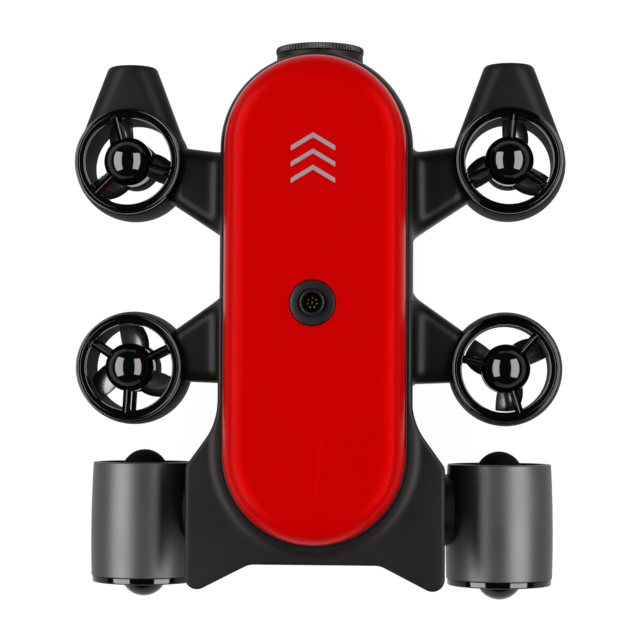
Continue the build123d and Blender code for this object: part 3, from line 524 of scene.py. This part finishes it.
def fin_section(reach):
    """The fin's section as pairs of distance out and height, from the hull's rim to its underside."""
    start = RIM_HALF - 0.6
    skirt = 11.5
    edge = 2.6
    low_edge = 1.6
    bottom = FIN_TOP_Z - FIN_THICKNESS
    top_points = []
    steps = 16
    for k in range(steps + 1):
        out = between(start, reach - edge, (k / steps) ** 1.6)
        lift = max(0.0, 1 - (out - start) / skirt)
        top_points.append((out, FIN_TOP_Z + (RIM_Z - 0.4 - FIN_TOP_Z) * lift**2.2))
    z_edge = top_points[-1][1]
    upper = [
        (reach - edge + edge * sin(radians(a)), z_edge - edge * (1 - cos(radians(a))))
        for a in (18, 36, 54, 72, 90)
    ]
    lower = [
        (reach - low_edge + low_edge * cos(radians(a)), bottom + low_edge - low_edge * sin(radians(a)))
        for a in (0, 30, 60, 90)
    ]
    return top_points + upper + lower + [(start, bottom)]


def make_fin():
    """The tail fin: a hollow curve runs from the hull's rim out to the flat plate and its rounded edge."""
    line = fin_half_outline()
    rear = HULL_CENTRE_Y - HULL_STRAIGHT / 2
    stations = []
    steps = 56
    for k in range(steps):
        y = between(HULL_CENTRE_Y, rear, k / steps)
        stations.append(((0.0, y), (1.0, 0.0)))
    steps = 200
    for k in range(steps + 1):
        angle = -pi / 2 * k / steps
        stations.append(((0.0, rear), (cos(angle), sin(angle))))
    rings = []
    for origin, (dx, dy) in stations:
        reach = ray_length(origin, (dx, dy), line)
        rings.append([(origin[0] + out * dx, origin[1] + out * dy, z) for out, z in fin_section(reach)])
    port = [[(-x, y, z) for x, y, z in ring] for ring in reversed(rings[:-1])]
    return skinned("tail_fin", rings + port)


def groove_depth(x, y):
    """How deep the tapering groove behind the tether socket is at a place on the cover."""
    share = (y - GROOVE_REAR_Y) / (GROOVE_FRONT_Y - GROOVE_REAR_Y)
    if share <= 0 or share >= 1.25:
        return 0.0
    half = between(3.6, 12.6, min(1.0, share))
    side = max(0.0, 1 - (abs(x) / half) ** 2)
    ends = smooth_step(share * 5) * smooth_step((1.25 - share) * 3.2)
    return GROOVE_DEPTH * ends * smooth_step(side)


def cover_profile():
    """The cover's section: a rolled edge that runs into the gently crowned top."""
    crown_edge = (CROWN_HALF, CROWN_EDGE_Z)
    edge = bezier((COVER_HALF, COVER_BASE_Z + 1), (COVER_HALF, 149.0), (57.5, 156.2), crown_edge, 18)
    rise = COVER_TOP_Z - CROWN_EDGE_Z
    crown = [(u, CROWN_EDGE_Z + rise * (1 - (u / CROWN_HALF) ** 2)) for u in range(45, -1, -1)]
    return [(COVER_HALF - 2.5, COVER_BASE_Z), (COVER_HALF - 0.6, COVER_BASE_Z)] + edge + crown


def make_cover():
    """The red cover with the round pocket for the tether socket left open in its middle."""
    def height(x, y, z):
        return z - groove_depth(x, y)

    cover = round_stadium("red_cover", cover_profile(), count=60, straight_steps=150, height=height, sharp=60)
    floor_z = 154.7
    mouth_r = 16.6
    pocket = turned(
        "pocket_cutter",
        [(0, floor_z), (POCKET_R, floor_z), (POCKET_R, 159.2), (mouth_r, 160.2), (mouth_r, 170), (0, 170)],
        96,
    )
    placed(pocket, Matrix.Translation((0, CONNECTOR_Y, 0)))
    subtract(cover, pocket)
    return cover


# Thrusters: every piece is made about its own upright axis, with the guard on top

def thruster_place(x, y, tail):
    """The matrix that takes a thruster from its own axis to its place; tail thrusters share one y."""
    if tail:
        return Matrix.Translation((x, TAIL_INTAKE_Y, TAIL_Z)) @ Matrix.Rotation(pi / 2, 4, "X")
    return Matrix.Translation((x, y, VERTICAL_TOP_Z - VERTICAL_LENGTH))


def guard_base(length):
    """The height of the dome's underside."""
    return length - GUARD_DOME_DROP - 3.0


def cup_top(length):
    """The height of the motor cup's mouth, under the propeller."""
    return guard_base(length) - 2 * PROPELLER_GAP - PROPELLER_HEIGHT


def make_duct(length, middle_r, foot_r):
    """The duct's barrel below its guard ring: a swelling side and a rounded intake lip."""
    top = length - GUARD_RING_HEIGHT
    outer = []
    for k in range(25):
        share = k / 24
        straight = between(foot_r, DUCT_TOP_R, share)
        swell = (middle_r - (foot_r + DUCT_TOP_R) / 2) * (1 - (2 * share - 1) ** 2)
        outer.append((straight + swell, between(1.2, top - 0.5, share)))
    profile = (
        arc((foot_r - 1.2, 1.2), 1.2, -90, -10, 6)
        + outer
        + [(DUCT_TOP_R - 0.5, top), (DUCT_BORE_R, top), (DUCT_BORE_R, top - 1)]
        + [(DUCT_BORE_R, between(top - 1, 3.4, k / 6)) for k in range(1, 6)]
        + arc((DUCT_BORE_R + 2.4, 2.4), 2.4, 180, 270, 8)
    )
    return turned("duct", profile + profile[:1], 160)


def make_cup(length, floor, shoulder, nose):
    """The motor cup: its bore stops at the floor, and below the shoulder its nose rounds off."""
    top = cup_top(length)
    wall = 1.9
    ball = (HUB_R**2 + nose**2) / (2 * nose)
    centre = shoulder - nose + ball
    reach = asin(HUB_R / ball) * 180 / pi
    cap_points = arc((0, centre), ball, -90, -90 + reach, 20)
    profile = cap_points + [
        (HUB_R, between(shoulder, top, 0.5)), (HUB_R, top - 0.4), (HUB_R - 0.4, top),
        (HUB_R - wall, top), (HUB_R - wall, floor), (0, floor),
    ]
    return turned("cup", profile, 96)


def make_vanes(middle, angle):
    """The streamlined vanes between the motor cup and the duct."""
    vanes = []
    for k in range(3):
        rings = []
        for r in (HUB_R - 1, (HUB_R + DUCT_BORE_R) / 2, DUCT_BORE_R + 0.8):
            rings.append([
                (
                    r,
                    VANE_HALF_THICKNESS * cos(2 * pi * m / 24),
                    middle + VANE_HALF_CHORD * sin(2 * pi * m / 24),
                )
                for m in range(24)
            ])
        vane = skinned("vane", rings)
        vanes.append(placed(vane, Matrix.Rotation(radians(angle + 120 * k), 4, "Z")))
    return vanes


def guard_ring_profile(top):
    """The ring's section: an outer bead, a fine step inside it and a wide sloping band down to the bore."""
    bottom = top - GUARD_RING_HEIGHT
    bead = arc((GUARD_R - 1.15, top - 1.15), 1.15, 0, 180, 10)
    return (
        [(DUCT_BORE_R, bottom), (GUARD_R - 0.4, bottom), (GUARD_R, bottom + 0.4)]
        + bead
        + [(GUARD_R - 2.5, top - 1.5)]
        + arc((GUARD_R - 3.3, top - 1.2), 0.45, 20, 90, 4)
        + [(GUARD_R - 3.9, top - 0.8), (DUCT_BORE_R + 1.2, top - 0.95)]
        + arc((DUCT_BORE_R + 0.9, top - 1.85), 0.9, 78, 180, 6)
        + [(DUCT_BORE_R, bottom)]
    )


def make_spoke(top):
    """One spoke: a roof that runs out over the ring's band, with a small arrowhead at its outer end."""
    ridge = top - SPOKE_DROP
    half = 2.8
    start = HUB_R - 2.5
    end = DUCT_BORE_R + 2.4
    outer_crest = ridge + 1.4

    def section(x, width, crest):
        """The roof's outline at a distance from the axis."""
        slope = [
            (width, -2.6), (0.5, -0.32), (0.22, -0.06), (0.0, 0.0),
            (-0.22, -0.06), (-0.5, -0.32), (-width, -2.6),
        ]
        under = [(-width + 0.2, -4.4), (-width * 0.5, -5.8), (width * 0.5, -5.8), (width - 0.2, -4.4)]
        return [(x, y, crest + z) for y, z in slope] + [(x, y, ridge + z) for y, z in under]

    rings = [
        section(start, half, ridge + 1.6),
        section(DUCT_BORE_R - 3.6, half, outer_crest),
        section(DUCT_BORE_R + 0.4, half, outer_crest),
        section(end, 0.9, outer_crest),
    ]
    spoke = skinned("spoke", rings, sharp=34)
    wings = []
    for sign in (-1, 1):
        wing_rings = []
        for share in (0.0, 1.0):
            x = between(end + 0.4, DUCT_BORE_R + 0.4, share)
            y = sign * between(0.0, half + 1.4, share)
            crest = ridge + between(1.8, 1.45, share)
            wing_rings.append([
                (x - 1.1, y, crest - 0.1), (x - 0.2, y, crest), (x + 0.5, y, crest - 0.4),
                (x + 0.5, y, crest - 1.6), (x - 1.1, y, crest - 1.6),
            ])
        wings.append(skinned("wing", wing_rings, sharp=10))
    return joined("spoke", [spoke] + wings)


def make_guard(name, length, angle):
    """The glossy guard: ring, spokes and dome."""
    ring = turned("ring", guard_ring_profile(length), 192, sharp=30)
    centre = length - GUARD_DOME_DROP
    base = guard_base(length)
    foot = [(0, base), (HUB_R - 0.5, base), (HUB_R, base + 0.5)]
    dome = turned("dome", foot + arc((0, centre), HUB_R, 0, 90, 32), 96)
    spokes = [placed(make_spoke(length), Matrix.Rotation(radians(angle + 120 * k), 4, "Z")) for k in range(3)]
    return joined(name, [ring, dome] + spokes)


def blade_ring(radius, share, middle, hand):
    """The section of a blade at a radius: a thin foil between its swept edge and its nearly radial edge."""
    inward = BLADE_TIP_R - radius
    swept_edge = radians(BLADE_TIP_HALF_ANGLE + BLADE_SWEEP * inward)
    straight_edge = -radians(BLADE_TIP_HALF_ANGLE + BLADE_TAPER * inward)
    pitch = radians(between(BLADE_ROOT_PITCH, BLADE_TIP_PITCH, share))
    span = tan(swept_edge) - tan(straight_edge)
    chord = radius * span / cos(pitch)
    bisector = (tan(swept_edge) + tan(straight_edge)) / 2
    thickness = between(2.2, 1.1, share)
    ring = []
    for k in range(28):
        turn = 2 * pi * k / 28
        s = cos(turn) * chord / 2
        t = sin(turn) * thickness / 2 * (1 + 0.25 * cos(turn))
        t += 0.8 * (1 - (2 * s / chord) ** 2) - 0.4
        tangential = s * cos(pitch) + t * sin(pitch)
        axial = t * cos(pitch) - s * sin(pitch)
        bend = hand * atan2(tangential + radius * bisector, radius)
        ring.append((radius * cos(bend), radius * sin(bend), middle + axial))
    return ring


def make_propeller(name, length, angle, hand):
    """The hub and its three broad blades."""
    bottom = cup_top(length) + PROPELLER_GAP
    top = bottom + PROPELLER_HEIGHT
    middle = (bottom + top) / 2
    hub = turned(
        "hub",
        [
            (2.0, bottom), (PROPELLER_HUB_R - 0.4, bottom), (PROPELLER_HUB_R, bottom + 0.4),
            (PROPELLER_HUB_R, middle), (PROPELLER_HUB_R, top - 0.8), (PROPELLER_HUB_R - 0.8, top), (0, top),
        ],
        96,
    )
    root_r = PROPELLER_HUB_R - 1.2
    rings = [blade_ring(between(root_r, BLADE_TIP_R, m / 8), m / 8, middle, hand) for m in range(9)]
    blades = []
    for k in range(3):
        blade = skinned("blade", rings, sharp=50)
        blades.append(placed(blade, Matrix.Rotation(radians(angle + 120 * k), 4, "Z")))
    return joined(name, [hub] + blades)


# Arms and struts

def flare(out, radius):
    """How much a hollow root of that radius adds at a distance out from the wall."""
    share = max(0.0, min(1.0, out / radius))
    return radius * (1 - sqrt(max(0.0, 1 - (1 - share) ** 2)))


def rounded_section(x, y_front, y_rear, z_low, z_high, corner, steps=7):
    """A rounded rectangle square to the vehicle's width."""
    corner = min(corner, (z_high - z_low) / 2 - 0.1, (y_front - y_rear) / 2 - 0.1)
    ring = []
    for cy, cz, start in (
        (y_front - corner, z_high - corner, 0), (y_rear + corner, z_high - corner, 90),
        (y_rear + corner, z_low + corner, 180), (y_front - corner, z_low + corner, 270),
    ):
        ring += [(x, y, z) for y, z in arc((cy, cz), corner, start, start + 90, steps)]
    return ring


def make_beam(edges, duct_x):
    """A starboard arm's beam; edges gives its front and rear edge at the hull and at the duct."""
    front_hull, rear_hull, front_duct, rear_duct = edges
    outs = [
        -2.4, -1.6, -0.9, -0.3, 0.3, 1.1, 2.0, 3.2, 4.6, 6.2, 8.0, 10.0, 13.0, 16.5, 20.0, 23.0, 25.5, 27.5,
        duct_x - BEAM_END - HULL_HALF,
    ]
    rings = []
    for out in outs:
        share = (out + 0.6) / (duct_x - VERTICAL_DUCT_R - HULL_HALF + 0.6)
        front = between(front_hull, front_duct, share) + flare(out + 0.8, 5.0)
        rear = between(rear_hull, rear_duct, share) - flare(out + 0.8, 3.0)
        lift = flare(out + 0.8, 11.0)
        low = MID_Z - ARM_HALF_HEIGHT - lift
        high = MID_Z + ARM_HALF_HEIGHT + lift
        rings.append(rounded_section(HULL_HALF + out, front, rear, low, high, 12.0 + lift * 0.3))
    return skinned("beam", rings)


def make_pod(x, y):
    """The lamp pod: a tapering nose from the duct's flanks to a round front with the lamp's bore."""
    half_angle = radians(POD_FLANK_ANGLE)
    base_y = y + VERTICAL_DUCT_R * sin(half_angle)
    base_half = VERTICAL_DUCT_R * cos(half_angle) - 0.3
    rings = []
    for k in range(13):
        share = k / 12
        station = between(base_y - 3, POD_FRONT_Y - 1.6, share)
        span = (station - base_y) / (POD_FRONT_Y - base_y)
        half = between(base_half, POD_FRONT_R, span)
        high = between(POD_ROOT_TOP_Z, MID_Z + POD_FRONT_R, span)
        low = between(POD_ROOT_BOTTOM_Z, MID_Z - POD_FRONT_R, span)
        corner = between(13.0, POD_FRONT_R, max(0.0, span) ** 0.8)
        ring = rounded_section(0, x + half, x - half, low, high, corner, steps=11)
        rings.append([(a, station, z) for _, a, z in ring])
    for radius, station in (
        (POD_FRONT_R - 0.25, POD_FRONT_Y - 0.8), (POD_FRONT_R - 0.8, POD_FRONT_Y - 0.25),
        (POD_FRONT_R - 1.6, POD_FRONT_Y), (LAMP_BORE_R + 0.3, POD_FRONT_Y),
        (LAMP_BORE_R, POD_FRONT_Y - 0.3), (LAMP_BORE_R, POD_FRONT_Y - 9),
    ):
        ring = []
        for a, _, z in rings[12]:
            turn = atan2(z - MID_Z, a - x)
            ring.append((x + radius * cos(turn), station, MID_Z + radius * sin(turn)))
        rings.append(ring)
    return skinned("pod", rings)


def dress_duct(name, parts, place, finish, node):
    """Places and dresses a duct: its outside has the given finish; its bore, motor cup and vanes get a dull,
    almost unreflecting black as painted shade.
    """
    duct, cup, *vanes = parts
    motor = placed(joined("cup_" + name + "_shell", [cup] + vanes), place)
    dress(motor, SHADE_AND_INSULATOR_BLACK, "vehicle", "hull_black", node)
    dress(duct, finish, "vehicle", "hull_black", node)
    duct.data.materials.append(SHADE_AND_INSULATOR_BLACK)
    # Faces that look inward, into the bore, take the second material: painted shade.
    for face in duct.data.polygons:
        outward = Vector((face.center.x, face.center.y)).dot(Vector((face.normal.x, face.normal.y)))
        if outward < 0:
            face.material_index = 1
    duct.name = "duct_" + name + "_shell"
    placed(duct, place)


def bored(solid, name, side, x, y, tail):
    """A starboard piece with the duct's bore cut out of it, mirrored where it belongs to port."""
    bore = turned("bore", [(0, -20), (DUCT_BORE_R + 1, -20), (DUCT_BORE_R + 1, 120), (0, 120)], 96)
    placed(bore, thruster_place(x, y, tail))
    subtract(solid, bore)
    if side < 0:
        placed(solid, Matrix.Scale(-1, 4, (1, 0, 0)))
    solid.name = name
    return solid


def make_arm(name, side, x, y):
    """One arm's beam, cut where the duct passes through it."""
    row = name.split("_")[0]
    return bored(make_beam(ARM_EDGES[row], x), "arm_" + name + "_shell", side, x, y, False)


def make_lamp_pod(name, side, x, y):
    """The lamp pod ahead of a front thruster."""
    return bored(make_pod(x, y), "pod_" + name + "_shell", side, x, y, False)


def make_strut(name, side, x):
    """The strut that joins a tail thruster to the hull: it narrows smoothly away from the hull's side."""
    # Distance from the middle, width, height and height of the middle
    sections = [
        (48.0, 60.0, 62.0, 66.0), (64.0, 58.0, 60.0, 65.0), (68.0, 55.0, 58.0, 64.5),
        (72.0, 52.5, 56.5, 64.0), (78.0, 51.0, 56.0, 63.0), (86.0, 51.0, 56.0, 62.5),
        (x - DUCT_BORE_R - 1.5, 51.0, 56.0, 62.0),
    ]
    rings = []
    for station, width, height, z in sections:
        rings.append([
            (station, STRUT_Y + width / 2 * cos(2 * pi * k / 64), z + height / 2 * sin(2 * pi * k / 64))
            for k in range(64)
        ])
    return bored(skinned("strut", rings), "strut_" + name + "_shell", side, x, 0, True)


# Camera, tether socket and marking

def at_the_nose(obj):
    """Turns a piece made about its own upright axis to look ahead from the camera's place."""
    return placed(obj, Matrix.Translation((0, 0, CAMERA_Z)) @ Matrix.Rotation(-pi / 2, 4, "X"))


def make_port():
    """The smooth port barrel that the knurled ring screws on to."""
    rear_y, front_y = 158.0, RING_FRONT_Y - RING_LENGTH
    profile = [(PORT_R, rear_y), (PORT_R, front_y - 1.4)] + arc((PORT_R - 0.6, front_y - 1.0), 0.6, 0, 90, 5)
    profile += [(PORT_BORE_R, front_y - 0.4), (PORT_BORE_R, rear_y)]
    return at_the_nose(turned("nose_port", profile, 160))


def make_lens_ring():
    """The knurled ring: fine ribs round its rim and a chamfered front."""
    ribs = 84
    steps = 6
    rear_y, front_y = RING_FRONT_Y - RING_LENGTH, RING_FRONT_Y
    rings = []
    for station, shrink, depth in (
        (rear_y, 0.5, 0.0), (rear_y + 0.35, 0.12, 0.35), (rear_y + 0.7, 0.0, 0.6), (front_y - 1.1, 0.0, 0.6),
        (front_y - 0.6, 0.15, 0.35), (front_y - 0.2, 0.5, 0.0), (front_y, 1.0, 0.0),
    ):
        ring = []
        for k in range(ribs * steps):
            wave = (0.5 - 0.5 * cos(2 * pi * (k % steps) / steps)) ** 0.6
            r = RING_R - shrink - depth * wave
            turn = 2 * pi * k / (ribs * steps)
            ring.append((r * cos(turn), r * sin(turn), station))
        rings.append(ring)
    for r, station in (
        (25.4, front_y), (24.6, front_y - 0.7), (24.2, front_y - 1.0), (24.2, rear_y), (PORT_R, rear_y),
    ):
        rings.append([
            (r * cos(2 * pi * k / (ribs * steps)), r * sin(2 * pi * k / (ribs * steps)), station)
            for k in range(ribs * steps)
        ])
    rings.append(rings[0])
    return at_the_nose(skinned("knurled_ring", rings, caps=False, sharp=30))


def make_socket():
    """The tether socket's flange and barrel."""
    thickness = 2.6
    flange_z = COVER_TOP_Z - 1.2 - thickness
    flange_top = flange_z + thickness
    flange = turned(
        "socket_flange",
        [
            (8.0, flange_z), (FLANGE_R, flange_z), (FLANGE_R, flange_z + 2.0), (15.2, flange_z + 2.5),
            (14.9, flange_top), (9.9, flange_top), (9.6, flange_z + 2.3), (9.6, flange_z + 1.0),
            (8.0, flange_z + 1.0),
        ],
        96,
    )
    top = BARREL_TOP_Z
    foot = flange_z - 9
    barrel = turned(
        "socket_barrel",
        [(BARREL_R, foot), (BARREL_R, top - 0.5)] + arc((BARREL_R - 0.3, top - 0.3), 0.3, 0, 90, 4)
        + [(7.2, top), (6.9, top - 0.3), (6.9, foot)],
        96,
    )
    return [
        placed(flange, Matrix.Translation((0, CONNECTOR_Y, 0))),
        placed(barrel, Matrix.Translation((0, CONNECTOR_Y, 0))),
    ]


def chevron(y, reach, width, height):
    """One chevron that points ahead, laid just on the cover's crown."""
    thickness = 0.25
    plan = [
        (0, y + height), (reach, y), (reach, y - width),
        (0, y + height - width), (-reach, y - width), (-reach, y),
    ]
    rise = COVER_TOP_Z - CROWN_EDGE_Z
    level = [COVER_TOP_Z - rise * (abs(x) / CROWN_HALF) ** 2 for x, _ in plan]
    low = [(x, py, z - 0.6) for (x, py), z in zip(plan, level)]
    high = [(x, py, z + thickness) for (x, py), z in zip(plan, level)]
    vertices = low + high
    faces = [(0, 1, 2, 3), (0, 3, 4, 5), (6, 7, 8, 9), (6, 9, 10, 11)]
    faces += [(k, (k + 1) % 6, (k + 1) % 6 + 6, k + 6) for k in range(6)]
    return piece("chevron", vertices, faces, sharp=20)


# Assembly

dress(make_hull(), PLATE_BLACK, "vehicle", "hull_black", "main_hull")
dress(make_fin(), PLATE_BLACK, "vehicle", "hull_black", "main_hull")
dress(make_port(), PLATE_BLACK, "vehicle", "hull_black", "main_hull")
dress(make_cover(), COVER_RED, "vehicle", "cover_red", "top_cover")
dress(make_lens_ring(), RING_METAL, "vehicle", "dark_metal", "lens_ring")
socket_flange, socket_barrel = make_socket()
dress(socket_flange, DARK_METAL, "vehicle", "dark_metal", "tether_connector")
dress(socket_barrel, DARK_METAL, "vehicle", "dark_metal", "tether_connector")
mark = joined("forward_mark", [chevron(118.0 - 11 * k, 15.0, 3.2, 9.0) for k in range(3)])
dress(mark, MARK_GREY, "vehicle", "cover_red")

for name, (side, x, y, spokes, blades, hand) in VERTICAL_THRUSTERS.items():
    dress(make_arm(name, side, abs(x), y), ARM_BLACK, "vehicle", "hull_black", "arm_" + name)
    duct = make_duct(VERTICAL_LENGTH, VERTICAL_DUCT_R, VERTICAL_FOOT_R)
    parts = [duct, make_cup(VERTICAL_LENGTH, *VERTICAL_CUP)] + make_vanes(VERTICAL_VANE_MIDDLE, spokes)
    place = thruster_place(x, y, False)
    dress_duct(name, parts, place, DUCT_BLACK, "arm_" + name)
    if name.startswith("front"):
        dress(make_lamp_pod(name, side, abs(x), y), POD_BLACK, "vehicle", "hull_black", "arm_" + name)
    guard = placed(make_guard("guard_" + name + "_shell", VERTICAL_LENGTH, spokes), place)
    dress(guard, GUARD_GLOSS, "vehicle", "guard_black", "guard_" + name)
    propeller = placed(make_propeller("propeller_" + name + "_shell", VERTICAL_LENGTH, blades, hand), place)
    dress(propeller, BLADE_GREY, "propeller_set_" + name, "blade_grey", "propeller_" + name)

for name, (side, x, spokes, blades) in TAIL_THRUSTERS.items():
    word = name.split("_")[1]
    duct = make_duct(TAIL_LENGTH, TAIL_DUCT_R, TAIL_FOOT_R)
    parts = [duct, make_cup(TAIL_LENGTH, *TAIL_CUP)] + make_vanes(TAIL_VANE_MIDDLE, spokes)
    place = thruster_place(x, 0, True)
    dress_duct(name, parts, place, BARREL_BLACK, "tail_duct_" + word)
    dress(make_strut(word, side, abs(x)), ARM_BLACK, "vehicle", "hull_black", "tail_duct_" + word)
    guard = placed(make_guard("guard_" + name + "_shell", TAIL_LENGTH, spokes), place)
    dress(guard, GUARD_GLOSS, "vehicle", "guard_black", "guard_" + name)
    propeller = placed(make_propeller("propeller_" + name + "_shell", TAIL_LENGTH, blades, side), place)
    dress(propeller, BLADE_GREY, "propeller_set_" + name, "blade_grey", "propeller_" + name)


# Floor, lights and camera

def background_mix(tree, light, background):
    """Gives the camera, gloss and glass the background, and everything else the plain light."""
    nodes = tree.nodes
    links = tree.links
    path = nodes.new("ShaderNodeLightPath")
    seen = path.outputs["Is Camera Ray"]
    for other in ("Is Glossy Ray", "Is Transmission Ray"):
        either = nodes.new("ShaderNodeMath")
        either.operation = "MAXIMUM"
        links.new(seen, either.inputs[0])
        links.new(path.outputs[other], either.inputs[1])
        seen = either.outputs["Value"]
    mix = nodes.new("ShaderNodeMixShader")
    links.new(seen, mix.inputs["Fac"])
    links.new(light.outputs[0], mix.inputs[1])
    links.new(background.outputs[0], mix.inputs[2])
    return mix


def make_floor():
    """The pale floor, which shows white apart from the vehicle's shadow."""
    bpy.ops.mesh.primitive_plane_add(size=14.0, location=(0, 0, -0.0002))
    floor = bpy.context.object
    floor.name = "floor"
    material = bpy.data.materials.new("floor_white")
    material.use_nodes = True
    tree = material.node_tree
    tree.nodes.clear()
    out = tree.nodes.new("ShaderNodeOutputMaterial")
    plain = tree.nodes.new("ShaderNodeBsdfDiffuse")
    plain.inputs["Color"].default_value = (FLOOR_GREY, FLOOR_GREY, FLOOR_GREY, 1.0)
    faint = tree.nodes.new("ShaderNodeBsdfDiffuse")
    faint.inputs["Color"].default_value = (SEEN_FLOOR_GREY, SEEN_FLOOR_GREY, SEEN_FLOOR_GREY, 1.0)
    glow = tree.nodes.new("ShaderNodeEmission")
    glow.inputs["Color"].default_value = (1.0, 1.0, 1.0, 1.0)
    glow.inputs["Strength"].default_value = SEEN_FLOOR_GLOW
    both = tree.nodes.new("ShaderNodeAddShader")
    tree.links.new(faint.outputs[0], both.inputs[0])
    tree.links.new(glow.outputs[0], both.inputs[1])
    mix = background_mix(tree, plain, both)
    tree.links.new(mix.outputs[0], out.inputs["Surface"])
    finish_of(floor, material)


def make_world():
    """A studio with white walls low down and a dark ceiling, and an even soft fill."""
    world = bpy.data.worlds.new("studio")
    bpy.context.scene.world = world
    world.use_nodes = True
    tree = world.node_tree
    nodes = tree.nodes
    nodes.clear()
    out = nodes.new("ShaderNodeOutputWorld")
    fill = nodes.new("ShaderNodeBackground")
    fill.inputs["Color"].default_value = (1.0, 1.0, 1.0, 1.0)
    fill.inputs["Strength"].default_value = WORLD_FILL
    place = nodes.new("ShaderNodeTexCoord")
    split = nodes.new("ShaderNodeSeparateXYZ")
    tree.links.new(place.outputs["Generated"], split.inputs["Vector"])
    rise = nodes.new("ShaderNodeMapRange")
    rise.interpolation_type = "SMOOTHSTEP"
    rise.inputs["From Min"].default_value = WALL_TOP
    rise.inputs["From Max"].default_value = CEILING_EDGE
    rise.inputs["To Min"].default_value = 1.0
    rise.inputs["To Max"].default_value = CEILING_GREY
    tree.links.new(split.outputs["Z"], rise.inputs["Value"])
    studio = nodes.new("ShaderNodeBackground")
    studio.inputs["Color"].default_value = (1.0, 1.0, 1.0, 1.0)
    tree.links.new(rise.outputs["Result"], studio.inputs["Strength"])
    mix = background_mix(tree, fill, studio)
    tree.links.new(mix.outputs[0], out.inputs["Surface"])


def softbox(name, side, distance, power, in_gloss_only=False):
    """A softbox high on one side; in_gloss_only lets it show in gloss without lighting matt surfaces."""
    data = bpy.data.lights.new(name, "AREA")
    data.shape = "RECTANGLE"
    data.size = SOFTBOX_LENGTH
    data.size_y = SOFTBOX_WIDTH
    data.energy = power
    lamp = bpy.data.objects.new(name, data)
    tilt = radians(SOFTBOX_TILT)
    lamp.location = (side * distance * sin(tilt), SOFTBOX_Y, 0.1 + distance * cos(tilt))
    toward = Vector((0, SOFTBOX_Y, 0.1)) - lamp.location
    lamp.rotation_euler = toward.to_track_quat("-Z", "Y").to_euler()
    if in_gloss_only:
        lamp.visible_diffuse = False
    bpy.context.scene.collection.objects.link(lamp)


def make_camera():
    """The camera hangs a little to starboard and astern of the middle and looks down, nose upward."""
    data = bpy.data.cameras.new("photo_camera")
    data.sensor_width = 36.0
    data.lens = CAMERA_FOCAL_PIXELS / IMAGE_PIXELS * data.sensor_width
    camera = bpy.data.objects.new("photo_camera", data)
    place = Vector(CAMERA_PLACE)
    back = (place - Vector(CAMERA_AIM)).normalized()
    ahead = Vector((0, 1, 0))
    up = (ahead - back * ahead.dot(back)).normalized()
    side = up.cross(back)
    turn = Matrix((side, up, back)).transposed() @ Matrix.Rotation(radians(CAMERA_ROLL), 3, "Z")
    camera.matrix_world = Matrix.Translation(place) @ turn.to_4x4()
    bpy.context.scene.collection.objects.link(camera)
    bpy.context.scene.camera = camera


make_floor()
make_world()
for side, word in ((-1, "left"), (1, "right")):
    softbox("softbox_" + word, side, SOFTBOX_DISTANCE, LIGHT_POWER)
    softbox("sheen_" + word, side, SOFTBOX_DISTANCE - SHEEN_ADVANCE, SHEEN_POWER, in_gloss_only=True)
make_camera()
bpy.context.scene.view_settings.view_transform = "Standard"
